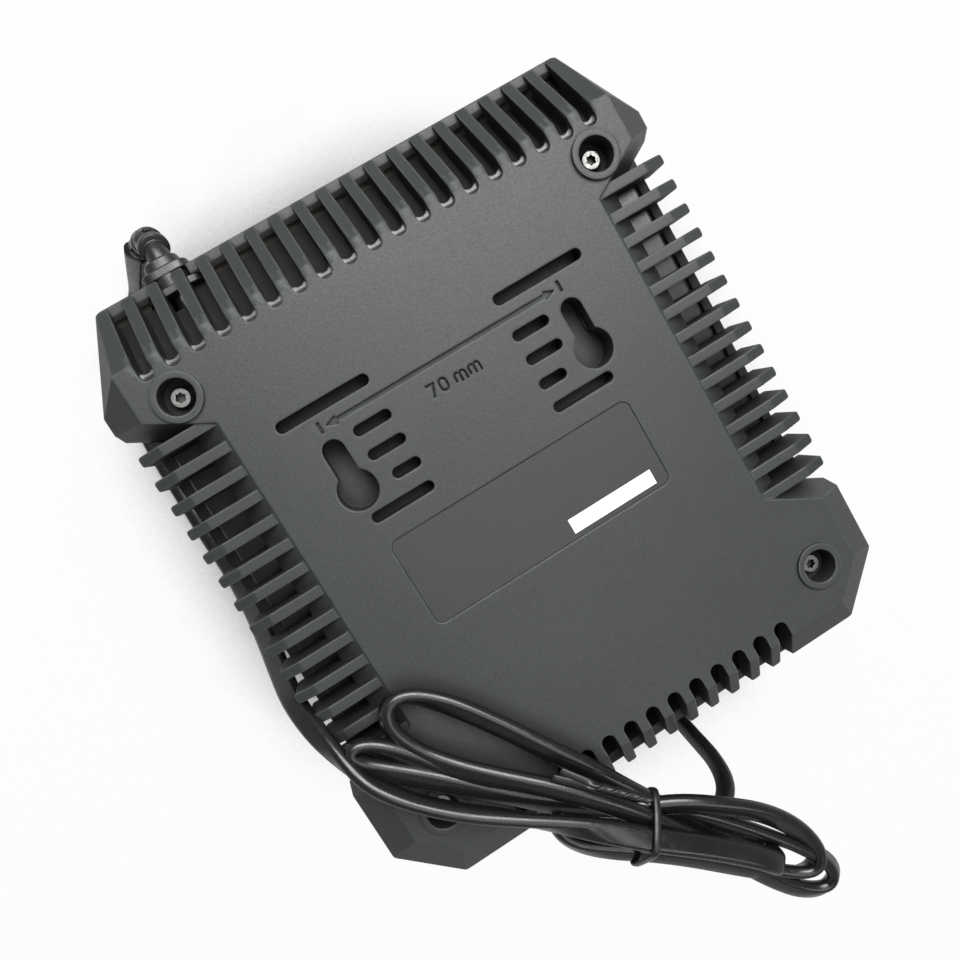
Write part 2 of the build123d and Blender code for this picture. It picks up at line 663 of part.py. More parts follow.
TRANSFORMER = (2.0, -6.0)
CORE_WIDTH = 35.0
CORE_LENGTH = 12.0
CORE_HEIGHT = 29.0
with BuildPart() as transformer_core:
    with BuildSketch(Plane.XZ.offset(-TRANSFORMER[1] - CORE_LENGTH / 2)):
        with Locations((TRANSFORMER[0], BOARD_BOTTOM - 1.5 - CORE_HEIGHT / 2)):
            Rectangle(CORE_WIDTH, CORE_HEIGHT)
            with Locations((-10.5, 0), (10.5, 0)):
                Rectangle(8, CORE_HEIGHT - 10, mode=Mode.SUBTRACT)
    extrude(amount=CORE_LENGTH)
save(transformer_core, "transformer_core")

with BuildPart() as transformer_winding:
    with BuildSketch(Plane.XY.offset(BOARD_BOTTOM - 7)):
        with Locations(TRANSFORMER):
            RectangleRounded(28.6, 27, 4)
            Rectangle(13.1, CORE_LENGTH + 0.1, mode=Mode.SUBTRACT)
    extrude(amount=-18)
    with BuildSketch(Plane.XY.offset(BOARD_BOTTOM - 1.6)):
        with Locations((TRANSFORMER[0], TRANSFORMER[1] - 11), (TRANSFORMER[0], TRANSFORMER[1] + 11)):
            Rectangle(28, 8)
    extrude(amount=-6)
save(transformer_winding, "transformer_winding")

bulk_capacitor = standing_can([(-36.0, 4.0)], 9.0, 30.0)
save(bulk_capacitor, "bulk_capacitor")
output_capacitors = standing_can([(33.0, -42.0), (45.0, -42.0)], 5.0, 20.0)
save(output_capacitors, "output_capacitors")

CHOKE = (-14.0, 34.0)
with BuildPart() as line_choke:
    with BuildSketch(Plane.XY.offset(BOARD_BOTTOM - 1)):
        with Locations(CHOKE):
            Circle(9.0)
            Circle(4.0, mode=Mode.SUBTRACT)
    extrude(amount=-9)
save(line_choke, "line_choke")

with BuildPart() as choke_winding:
    for turn in range(-4, 5):
        angle = math.radians(turn * 14)
        wire_plane = Plane(
            (*CHOKE, BOARD_BOTTOM - 5.5),
            x_dir=(math.cos(angle), math.sin(angle), 0),
            z_dir=(-math.sin(angle), math.cos(angle), 0),
        )
        with BuildSketch(wire_plane):
            with Locations((-6.5, 0), (6.5, 0)):
                RectangleRounded(6.8, 10.8, 1.6)
                RectangleRounded(5.4, 9.4, 0.2, mode=Mode.SUBTRACT)
        extrude(amount=0.4, both=True)
save(choke_winding, "choke_winding")

x_capacitor = standing_box(-36.0, 36.0, 18.0, 8.0, 14.0, 1.0)
save(x_capacitor, "x_capacitor")
bridge_rectifier = standing_box(-20.0, 18.0, 20.0, 4.6, 16.0, 0.6)
save(bridge_rectifier, "bridge_rectifier")
control_chip = standing_box(14.0, 22.0, 10.0, 6.4, 3.4, 0.3)
save(control_chip, "control_chip")
mains_connector = standing_box(-40.0, 49.0, 10.0, 8.0, 9.0, 0.6)
save(mains_connector, "mains_connector")

with BuildPart() as mains_fuse:
    with BuildSketch(Plane.YZ.offset(-32.0)):
        with Locations((49.0, BOARD_BOTTOM - 4)):
            Circle(2.6)
    extrude(amount=14)
    for end_x in (-32.0, -21.0):
        with BuildSketch(Plane.YZ.offset(end_x)):
            with Locations((49.0, BOARD_BOTTOM - 4)):
                Circle(3.0)
        extrude(amount=3)
save(mains_fuse, "mains_fuse")

HEAT_SINKS = (
    ("primary_heat_sink", "power_transistor", -10.0, -28.0, 36.0),
    ("output_heat_sink", "output_rectifier", 14.0, -42.0, 24.0),
)
for name, chip_name, sink_x, sink_y, sink_width in HEAT_SINKS:
    with BuildPart() as heat_sink:
        with BuildSketch(Plane.XY.offset(BOARD_BOTTOM - 1)):
            with Locations((sink_x, sink_y)):
                Rectangle(sink_width, 2.0)
            for fin in range(-2, 3):
                with Locations((sink_x + fin * 5.0, sink_y - 3.4)):
                    Rectangle(1.2, 5.0)
        extrude(amount=-24)
    save(heat_sink, name)
    with BuildPart() as chip:
        with Locations((sink_x, sink_y + 1.0 + 2.2, BOARD_BOTTOM - 12)):
            Box(10.2, 4.4, 15.5)
    save(chip, chip_name)

# ---- battery terminals ----------------------------------------------------------------------
BLADE_SPOTS = [(index * 8.0, 0) for index in range(-2, 3)]
BLADE_Z = 13.0


def blade_profile(grow=0.0):
    """Side profile of the terminal blades, as a sketch on the YZ plane, grown by grow."""
    with BuildSketch(Plane.YZ) as profile:
        with BuildLine():
            Polyline(
                (CHANNEL_REAR_Y - 15, BLADE_Z - 2), (CHANNEL_REAR_Y - 13.5, BLADE_Z - 3 - grow),
                (CHANNEL_REAR_Y + 9, BLADE_Z - 3 - grow), (CHANNEL_REAR_Y + 9, BLADE_Z),
                (CHANNEL_REAR_Y + 16, BLADE_Z), (CHANNEL_REAR_Y + 16, BLADE_Z + 3 + grow),
                (CHANNEL_REAR_Y - 13.5, BLADE_Z + 3 + grow), (CHANNEL_REAR_Y - 15, BLADE_Z + 2),
                close=True,
            )
        make_face()
    return profile.sketch


with BuildPart() as terminal_block:
    with Locations((0, CHANNEL_REAR_Y - 3, 8)):
        Box(40, 14, 10, align=(Align.CENTER, Align.MIN, Align.MIN))
    with Locations((0, CHANNEL_REAR_Y + WALL, 6)):
        Box(48, 3, 14, align=(Align.CENTER, Align.MIN, Align.MIN))
    # guide ribs between the blades
    for x, _ in BLADE_SPOTS:
        with Locations((x, CHANNEL_REAR_Y - 3, BLADE_Z)):
            Box(0.9, 40, 6.1, mode=Mode.SUBTRACT)
save(terminal_block, "terminal_block")

with BuildPart() as terminal_blades:
    for x, _ in BLADE_SPOTS:
        blade = extrude(blade_profile(), amount=0.4, both=True, mode=Mode.PRIVATE)
        add(blade.moved(Location((x, 0, 0))))
save(terminal_blades, "terminal_blades")


def wire(points, radius, bend):
    """Round wire along straight runs joined by arcs of one bend radius."""
    with BuildPart() as piece:
        with BuildLine():
            path = FilletPolyline(*points, radius=bend)
        with BuildSketch(Plane(path @ 0, z_dir=path % 0)):
            Circle(radius)
        sweep()
    return piece


for lead_x, lead_name in ((-16.0, "dc_lead_negative"), (16.0, "dc_lead_positive")):
    lead_y = CHANNEL_REAR_Y + 16
    dc_lead = wire(
        [
            (lead_x, lead_y, BLADE_Z + 1.5), (lead_x, lead_y + 3.0, BLADE_Z + 1.5),
            (lead_x, lead_y + 3.0, 26), (lead_x * 0.9, lead_y, 42), (lead_x * 0.9, lead_y, BOARD_BOTTOM),
        ],
        1.2, 2.6,
    )
    save(dc_lead, lead_name)

# ---- cooling fan ----------------------------------------------------------------------------
fan_back = FAN_FRONT_Y + FAN_DEPTH
with BuildPart() as fan_frame:
    with BuildSketch(Plane.XZ.offset(-fan_back)):
        with Locations((FAN_X, FAN_Z)):
            RectangleRounded(FAN_SIZE, FAN_SIZE, 3)
            Circle(FAN_BORE_R, mode=Mode.SUBTRACT)
        with Locations(FAN_SPOTS):
            Circle(1.7, mode=Mode.SUBTRACT)
    extrude(amount=FAN_DEPTH)
    with BuildSketch(Plane.XZ.offset(-fan_back)):
        with Locations((FAN_X, FAN_Z)):
            Circle(8.4)
            with PolarLocations(14, 3, start_angle=30):
                Rectangle(11.6, 2.0)
            Circle(BEARING_R, mode=Mode.SUBTRACT)
    extrude(amount=1.8)
    with BuildSketch(Plane.XZ.offset(-fan_back)):
        with Locations((FAN_X, FAN_Z)):
            Circle(2.4)
            Circle(BEARING_R, mode=Mode.SUBTRACT)
    extrude(amount=7.4)
save(fan_frame, "fan_frame")

with BuildPart() as fan_stator:
    with BuildSketch(Plane.XZ.offset(-fan_back + 2.0)):
        with Locations((FAN_X, FAN_Z)):
            Circle(3.4)
            with PolarLocations(4.4, 4):
                Rectangle(3.4, 3.0)
            Circle(2.4, mode=Mode.SUBTRACT)
    extrude(amount=4.4)
save(fan_stator, "fan_stator")

with BuildPart() as fan_rotor:
    with BuildSketch(Plane.XZ.offset(-FAN_FRONT_Y - 0.6)):
        with Locations((FAN_X, FAN_Z)):
            Circle(8.2)
    extrude(amount=-7.6)
    with BuildSketch(Plane.XZ.offset(-FAN_FRONT_Y - 8.2)):
        with Locations((FAN_X, FAN_Z)):
            Circle(7.0)
    extrude(amount=6.4, mode=Mode.SUBTRACT)
    with BuildSketch(Plane.XZ.offset(-FAN_FRONT_Y - 1.0)):
        with Locations((FAN_X, FAN_Z)):
            Circle(AXLE_R)
    extrude(amount=-8.6)
    for blade in range(7):
        with Locations(Location((FAN_X, FAN_FRONT_Y + 4.4, FAN_Z), (0, blade * 360 / 7, 0))):
            with Locations(Location((12.9, 0, 0), (38, 0, 0))):
                Box(10.4, 1.0, 8.4)
save(fan_rotor, "fan_rotor")

with BuildPart() as fan_screws:
    with BuildSketch(Plane.XZ.offset(-FAN_FRONT_Y)):
        with Locations(FAN_SPOTS):
            Circle(2.5)
    extrude(amount=1.6)
    with BuildSketch(Plane.XZ.offset(-FAN_FRONT_Y)):
        with Locations(FAN_SPOTS):
            Circle(1.0)
    extrude(amount=-FAN_DEPTH - 2.8)
save(fan_screws, "fan_screws")

fan_lead = wire(
    [
        (FAN_X - FAN_SIZE / 2, FAN_FRONT_Y + 4, 46), (FAN_X - FAN_SIZE / 2 - 6, FAN_FRONT_Y + 4, 46),
        (FAN_X - FAN_SIZE / 2 - 6, 52, 49), (FAN_X - FAN_SIZE / 2 - 6, 51, BOARD_BOTTOM - 3),
        (FAN_X - FAN_SIZE / 2 - 6, 51, BOARD_BOTTOM),
    ],
    0.9, 1.4,
)
save(fan_lead, "fan_lead")

# ---- cord entry -----------------------------------------------------------------------------
BOOT_BEND = 12.0
BOOT_START = REAR_Y + 3.0
with BuildPart() as cord_strain_relief:
    # flange inside the wall, neck through it, flange outside it
    with BuildSketch(Plane.XZ.offset(-(REAR_Y - WALL - 2.0))):
        with Locations((GLAND_X, GLAND_Z)):
            RectangleRounded(15, 11, 2)
    extrude(amount=-1.9)
    with BuildSketch(Plane.XZ.offset(-(REAR_Y - WALL - 1.9))):
        with Locations((GLAND_X, GLAND_Z)):
            Circle(GLAND_R - 0.1)
    extrude(amount=-(WALL + 2.2))
    with BuildSketch(Plane.XZ.offset(-(REAR_Y + 0.1))):
        with Locations((GLAND_X, GLAND_Z)):
            RectangleRounded(12.7, 11, 3)
    extrude(amount=-2.4)
    # tapered sleeve that bends down and a little outwards
    for step in range(9):
        share = step / 8
        bend = math.radians(86 * share)
        sleeve_plane = Plane(
            origin=(
                GLAND_X - 3.0 * share ** 2,
                BOOT_START + BOOT_BEND * math.sin(bend),
                GLAND_Z - BOOT_BEND * (1 - math.cos(bend)) - 4 * share ** 3,
            ),
            z_dir=(-0.3 * share, math.cos(bend), -math.sin(bend)),
        )
        with BuildSketch(sleeve_plane):
            Circle(4.3 - 1.0 * share)
    loft()
    with BuildSketch(Plane.XZ.offset(-(REAR_Y + 0.3))):
        with Locations((GLAND_X, GLAND_Z)):
            Circle(4.3)
    extrude(amount=-(BOOT_START - REAR_Y - 0.3))
save(cord_strain_relief, "cord_strain_relief")

with BuildPart() as cord_jacket_end:
    with BuildSketch(Plane.XZ.offset(-(REAR_Y - WALL - 2.0))):
        with Locations((GLAND_X, GLAND_Z)):
            Circle(CORD_R)
    extrude(amount=REAR_Y - WALL - 2.0 - 67.0)
save(cord_jacket_end, "cord_jacket_end")

with BuildPart() as cord_clamp:
    with Locations((GLAND_X, CLAMP_Y, CLAMP_SEAT_Z)):
        Box(2 * CLAMP_SPREAD + 7, 7, 5.2, align=(Align.CENTER, Align.CENTER, Align.MIN))
    with BuildSketch(Plane.XZ.offset(-CLAMP_Y - 5)):
        with Locations((GLAND_X, GLAND_Z)):
            Circle(CORD_R + 0.02)
    extrude(amount=10, mode=Mode.SUBTRACT)
    with BuildSketch(Plane.XY.offset(CLAMP_SEAT_Z)):
        with Locations(CLAMP_SPOTS):
            Circle(1.3)
    extrude(amount=6, mode=Mode.SUBTRACT)
save(cord_clamp, "cord_clamp")
clamp_screws = screw_group(CLAMP_SPOTS, CLAMP_SEAT_Z + 5.2, 2.3, 1.5, 1.0, 12.0, 0.9)
save(clamp_screws, "clamp_screws")

for lead_name, offset_x, end_x in (("mains_lead_brown", -1.2, -42.4), ("mains_lead_blue", 1.2, -38.8)):
    mains_lead = wire(
        [
            (GLAND_X + offset_x, 67.0, GLAND_Z), (GLAND_X + offset_x, 63.5, GLAND_Z),
            (end_x, 57.5, 51.0), (end_x, 53.0, 51.0),
        ],
        0.9, 2.2,
    )
    save(mains_lead, lead_name)

# ---- mains cord, hank and plug --------------------------------------------------------------
HANK_MIDDLE = (-15.5, -99.0)
HANK_TURN = -60.9          # direction of the strands through the tie, seen from above
HANK_BOTTOM = HEIGHT + 1.2
HANK_TOP = HEIGHT + 12.0
HANK_DROP = 8.5            # how far the free end hangs below the base plate side
TIE_HALF = 2.0

CORD_SUPPLY = [
    (-51.2, 102.5, 40.8),
    (-54.9, 103.3, 28.4),
    (-61.5, 103.0, 15.5),
    (-71.0, 99.0, 6.0),
    (-81.5, 90.0, CORD_FLOOR_Z),
    (-88.0, 76.0, CORD_FLOOR_Z),
    (-90.0, 58.0, CORD_FLOOR_Z),
    (-90.4, 41.0, 3.0),
    (-91.0, 27.0, 7.5),
    (-90.5, 14.0, 15.0),
    (-89.5, 2.0, 26.0),
    (-87.0, -8.0, 40.5),
    (-84.8, -16.6, 56.1),
    (-83.4, -24.0, 67.0),
    (-80.9, -31.9, 74.4),
    (-76.7, -40.3, 78.0),
    (-72.3, -48.2, 78.0),
]
CORD_TAIL = [
    (7.0, -114.5, HEIGHT - HANK_DROP),
    (7.0, -114.5, 57.0),
    (8.2, -113.0, 47.0),
    (9.0, -109.0, 37.0),
    (9.4, -104.5, 27.0),
    (13.0, -101.0, 14.5),
    (25.0, -99.0, 6.85),
    (38.0, -99.0, 6.85),
]


def cord_tube(points):
    """Round tube on straight runs joined by the largest even arcs that fit between them."""
    spots = [Vector(*point) for point in points]
    runs = [(end - start) for start, end in zip(spots, spots[1:])]
    bends = []
    for before, after in zip(runs, runs[1:]):
        turn = math.radians(before.get_angle(after))
        bends.append(0.45 * min(before.length, after.length) / math.tan(turn / 2))
    with BuildPart() as tube:
        with BuildLine():
            path = FilletPolyline(*spots, radius=bends)
        with BuildSketch(Plane(path @ 0, z_dir=path % 0)):
            Circle(CORD_R)
        sweep()
    length = path.length
    filled = tube.part.volume / (math.pi * CORD_R ** 2 * length)
    print("cord length", round(length, 1), "smallest bend", round(min(bends), 1), "volume share", round(filled, 4))
    return tube


cord_supply = cord_tube(CORD_SUPPLY)
save(cord_supply, "cord_supply")
cord_tail = cord_tube(CORD_TAIL)
save(cord_tail, "cord_tail")

hank_plane = Plane.XY.rotated((0, 0, HANK_TURN))
hank_plane.origin = Vector(*HANK_MIDDLE, 0)
with BuildPart() as cord_hank:
    with BuildSketch(hank_plane.offset(HANK_BOTTOM)):
        with BuildLine():
            Polyline(
                (-72, -21.6), (-72, -29.5), (-60, -26), (-38, -19), (-20, -18), (-10, -16),
                (-3, -11), (3, -11), (14, -9), (14, 14), (3, 8), (-3, 8),
                (-16, 9), (-50, 10), (-70, 9), (-80, 3), (-84, -8), (-84, -21.6),
                close=True,
            )
        make_face()
    extrude(amount=HANK_TOP - HANK_BOTTOM)
    with BuildSketch(hank_plane.offset(HEIGHT - HANK_DROP)):
        with BuildLine():
            Polyline(
                (8, -10.2), (30, -6), (46, -3), (62, 1), (67, 6), (66, 13), (40, 20), (20, 17), (8, 11),
                close=True,
            )
        make_face()
    extrude(amount=17)
save(cord_hank, "cord_hank")

with BuildPart() as twist_tie:
    with BuildSketch(hank_plane.offset(HANK_BOTTOM - 0.8)):
        with Locations((0, -1.5)):
            Rectangle(2 * TIE_HALF, 20.6)
    extrude(amount=HANK_TOP - HANK_BOTTOM + 1.6)
    with BuildSketch(hank_plane.offset(HANK_BOTTOM)):
        with Locations((0, -1.5)):
            Rectangle(2 * TIE_HALF + 2, 19)
    extrude(amount=HANK_TOP - HANK_BOTTOM, mode=Mode.SUBTRACT)
    # twisted ends, laid back along the hank
    with BuildSketch(hank_plane.offset(HANK_TOP + 0.1)):
        with Locations((-14, 2.0)):
            SlotOverall(30, 3.0)
    extrude(amount=1.6)
save(twist_tie, "twist_tie")

PLUG_START = (38.0, -99.0, 6.85)
with BuildPart() as plug_grip:
    with BuildSketch(Plane.XY):
        with BuildLine():
            Polyline(
                (50, -107), (62, -116.6), (76, -116.6), (76, -81.4), (62, -81.4), (50, -91),
                close=True,
            )
        make_face()
    extrude(amount=13.7)
    with BuildSketch(Plane.YZ.offset(40)):
        with BuildLine():
            Polyline(
                (-116.6, 6.0), (-113.5, 0.0), (-84.5, 0.0), (-81.4, 6.0),
                (-81.4, 7.7), (-84.5, 13.7), (-113.5, 13.7), (-116.6, 7.7),
                close=True,
            )
        make_face()
    extrude(amount=50, mode=Mode.INTERSECT)
with BuildPart() as plug_body:
    # tapered sleeve, then the flat six-sided grip
    with BuildSketch(Plane.YZ.offset(PLUG_START[0])):
        with Locations(PLUG_START[1:]):
            Ellipse(4.2, 3.6)
    with BuildSketch(Plane.YZ.offset(PLUG_START[0] + 13)):
        with Locations(PLUG_START[1:]):
            Ellipse(5.6, 5.0)
    loft()
    add(plug_grip.part)
    with BuildSketch(Plane.YZ.offset(76)):
        with Locations((-99 - 9, 6.85), (-99 + 9, 6.85)):
            Circle(2.0)
    extrude(amount=-8, mode=Mode.SUBTRACT)
save(plug_body, "plug_body")

with BuildPart() as plug_pins:
    with BuildSketch(Plane.YZ.offset(68)):
        with Locations((-99 - 9, 6.85), (-99 + 9, 6.85)):
            Circle(2.0)
    extrude(amount=27)
    fillet(plug_pins.faces().sort_by(Axis.X)[-2:].edges(), 1.4)
save(plug_pins, "plug_pins")
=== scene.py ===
"""Studio scene of a slide-in battery charger: looks, mains cord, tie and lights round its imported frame."""

import functools
import logging
import math
from dataclasses import dataclass, field
from enum import Enum

import bpy
from mathutils import Matrix, Vector

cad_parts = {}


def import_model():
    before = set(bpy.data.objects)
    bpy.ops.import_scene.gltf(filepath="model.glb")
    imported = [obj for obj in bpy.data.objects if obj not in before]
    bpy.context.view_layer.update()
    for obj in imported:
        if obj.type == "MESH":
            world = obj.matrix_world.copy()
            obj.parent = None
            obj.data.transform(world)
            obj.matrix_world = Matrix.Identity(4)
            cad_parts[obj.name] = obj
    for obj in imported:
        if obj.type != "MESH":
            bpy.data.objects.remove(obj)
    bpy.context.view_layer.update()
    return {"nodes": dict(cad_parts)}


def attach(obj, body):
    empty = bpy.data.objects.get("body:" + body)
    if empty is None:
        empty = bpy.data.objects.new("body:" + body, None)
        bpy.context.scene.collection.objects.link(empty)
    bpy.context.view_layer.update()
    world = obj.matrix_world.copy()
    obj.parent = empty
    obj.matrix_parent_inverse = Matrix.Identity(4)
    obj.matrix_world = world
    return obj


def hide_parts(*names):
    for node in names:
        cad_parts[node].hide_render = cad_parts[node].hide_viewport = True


LOG = logging.getLogger("charger")
MM = 0.001
PATCH_SCALE = 28.0
COAT_ROUGHNESS = 0.18
GRAIN_SHADES = (0.78, 1.25)         # darkest and lightest grain, as shares of the colour
DUST_LIFT = (1.35, 0.004)           # what handling does to a colour: times, plus
WEAR_AND_HIGHLIGHT_LIFT = (2.4, 0.02)             # what wear and the painted edge highlight do to it
EDGE_FACING = (0.995, 0.94)         # cosine between rounded and flat normal: edge starts, edge is full
OPEN_RECESS = (0.8, 0.25)           # openness where the painted recess shade starts and where it is full
ROUGH_SWING = 0.06
RECESS_SHADE_REACH = 7 * MM
WHITE = (1.0, 1.0, 1.0, 1.0)

Point = tuple[float, float, float]
Colour = tuple[float, float, float]
Socket = bpy.types.NodeSocket
Piece = bpy.types.Object
Material = bpy.types.Material
Tree = bpy.types.NodeTree


class Body(Enum):
    """The two rigid bodies of the charger."""

    HOUSING = "housing"
    ROTOR = "rotor"


def millimetres(point: tuple[float, ...]) -> Vector:
    """Turn a point in millimetres into a vector in metres."""
    return Vector(point[:3]) * MM


def new_object(name: str, data: bpy.types.ID) -> Piece:
    """Put data into the scene as an object at the origin.

    Args:
        name: the object's name.
        data: the mesh, curve or light that it holds.

    Returns:
        The object.
    """
    made = bpy.data.objects.new(name, data)
    bpy.context.scene.collection.objects.link(made)
    return made


def squared(value: float, power: float) -> float:
    """Raise a sine or cosine to a power and keep its sign, which squares a circle off."""
    return math.copysign(abs(value) ** power, value)


def turned_by(turn: float, side: Vector, rise: Vector) -> Vector:
    """Give the direction at an angle from side towards rise."""
    return side * math.cos(turn) + rise * math.sin(turn)


# ---- node trees ------------------------------------------------------------------------------
class Graph:
    """Places and joins the nodes of one node tree."""

    def __init__(self, tree: Tree) -> None:
        """Keep the shader or geometry tree that the nodes go into."""
        self.tree = tree

    def group(self, tree: Tree, **inputs: object) -> bpy.types.Node:
        """Place a node group, with its inputs by name in lower case."""
        named = {name.capitalize(): value for name, value in inputs.items()}
        return self.add("ShaderNodeGroup", named, node_tree=tree)

    def add(self, kind: str, inputs: dict | None = None, **settings: object) -> bpy.types.Node:
        """Place one node.

        Args:
            kind: the node's type name.
            inputs: socket name or number to a value, or to a socket to join it to.
            settings: the node's own options.

        Returns:
            The new node.
        """
        node = self.tree.nodes.new(kind)
        for name, value in settings.items():
            setattr(node, name, value)
        for key, value in (inputs or {}).items():
            if isinstance(value, Socket):
                self.tree.links.new(value, node.inputs[key])
            else:
                node.inputs[key].default_value = value
        return node

    def math(self, operation: str, *values: object) -> Socket:
        """Place a math node on numbers or sockets and give its result."""
        return self.add("ShaderNodeMath", dict(enumerate(values)), operation=operation).outputs[0]

    def product(self, *masks: object) -> Socket:
        """Multiply masks, the first two first."""
        return functools.reduce(lambda so_far, mask: self.math("MULTIPLY", so_far, mask), masks)

    def above(self, value: Socket, low: float) -> Socket:
        """Mark where a value is over a limit."""
        return self.math("GREATER_THAN", value, low)

    def below(self, value: Socket, high: float) -> Socket:
        """Mark where a value is under a limit."""
        return self.math("LESS_THAN", value, high)

    def near(self, value: Socket, middle: float, reach: float) -> Socket:
        """Mark where a value is within reach of the middle."""
        return self.math("COMPARE", value, middle, reach)

    def axes(self, place: Socket) -> tuple[Socket, ...]:
        """Split coordinates into X, Y and Z."""
        return tuple(self.add("ShaderNodeSeparateXYZ", {0: place}).outputs)

    def noise(self, vector: Socket, scale: object, **settings: float) -> Socket:
        """Place a noise texture and give its value."""
        named = {name.capitalize(): value for name, value in settings.items()}
        return self.add("ShaderNodeTexNoise", {"Vector": vector, "Scale": scale, **named}).outputs[0]

    def blend(self, share: object, first: object, second: object) -> Socket:
        """Mix two colours: the first shows at a share of 0, the second at 1."""
        return self.add("ShaderNodeMix", {0: share, 6: first, 7: second}, data_type="RGBA").outputs[2]

    def ramp(self, value: Socket, low: float, high: float, start: float = 0.0, end: float = 1.0) -> Socket:
        """Map the range from low to high on to that from start to end, and hold its ends."""
        inputs = {"Value": value, "From Min": low, "From Max": high, "To Min": start, "To Max": end}
        return self.add("ShaderNodeMapRange", inputs).outputs[0]


def rgba(colour: Colour) -> tuple[float, ...]:
    """Give a colour its alpha."""
    return (*colour, 1.0)


def lifted(colour: Colour, times: float, plus: float = 0.0) -> tuple[float, ...]:
    """Scale and raise a colour, up to white, and give it its alpha."""
    return rgba(tuple(min(1.0, part * times + plus) for part in colour))


def new_group(name: str, inputs: dict[str, str], outputs: dict[str, str]) -> tuple[Tree, Graph]:
    """Start a shader node group.

    Args:
        name: the group's name.
        inputs: socket name to kind, Float or Vector.
        outputs: the same for what it gives.

    Returns:
        The tree and a graph to fill it with.
    """
    tree = bpy.data.node_groups.new(name, "ShaderNodeTree")
    for side, sockets in (("INPUT", inputs), ("OUTPUT", outputs)):
        for socket, kind in sockets.items():
            tree.interface.new_socket(name=socket, in_out=side, socket_type=f"NodeSocket{kind}")
    return tree, Graph(tree)


class Effects:
    """Shader node groups that more than one finish uses, each built once."""

    def __init__(self) -> None:
        """Build the groups."""
        self.grain = self._grain()
        self.patches = self._patches()
        self.worn_and_lit_edge = self._worn_and_lit_edge()

    @staticmethod
    def _grain() -> Tree:
        """Make fine moulded or cast grain.

        Returns:
            A group that gives a height for bump, and a tone from 0 to 1.
        """
        tree, graph = new_group(
            "surface_grain", {"Vector": "Vector", "Scale": "Float"}, {"Height": "Float", "Tone": "Float"}
        )
        source = graph.add("NodeGroupInput")
        vector, scale = source.outputs["Vector"], source.outputs["Scale"]
        fine = graph.noise(vector, scale, detail=2.5, roughness=0.65)
        coarse = graph.noise(vector, graph.math("MULTIPLY", scale, 0.37), detail=1.5, roughness=0.5)
        height = graph.math("MULTIPLY_ADD", coarse, 0.6, fine)
        tone = graph.ramp(fine, 0.36, 0.66)
        graph.add("NodeGroupOutput", {"Height": height, "Tone": tone})
        return tree

    @staticmethod
    def _patches() -> Tree:
        """Make broad uneven patches, such as handling marks and dust.

        Returns:
            A group that gives them as a mask.
        """
        tree, graph = new_group(
            "handling_patches", {"Vector": "Vector", "Scale": "Float", "Amount": "Float"}, {"Mask": "Float"}
        )
        source = graph.add("NodeGroupInput")
        vector, scale = source.outputs["Vector"], source.outputs["Scale"]
        cloud = graph.noise(vector, scale, detail=5.0, roughness=0.62, distortion=0.35)
        mask = graph.product(graph.ramp(cloud, 0.42, 0.72), source.outputs["Amount"])
        graph.add("NodeGroupOutput", {"Mask": mask})
        return tree

    @staticmethod
    def _worn_and_lit_edge() -> Tree:
        """Break an even edge mask up, so that the wear and the painted edge highlight come and go along the edge.

        Returns:
            A group that gives the broken mask.
        """
        tree, graph = new_group(
            "worn_and_lit_edge", {"Vector": "Vector", "Edge": "Float", "Amount": "Float"}, {"Mask": "Float"}
        )
        source = graph.add("NodeGroupInput")
        breaks = graph.noise(source.outputs["Vector"], 160.0, detail=4.0)
        share = graph.ramp(breaks, 0.3, 0.7, 0.25, 1.0)
        mask = graph.product(share, source.outputs["Edge"], source.outputs["Amount"])
        graph.add("NodeGroupOutput", {"Mask": mask})
        return tree


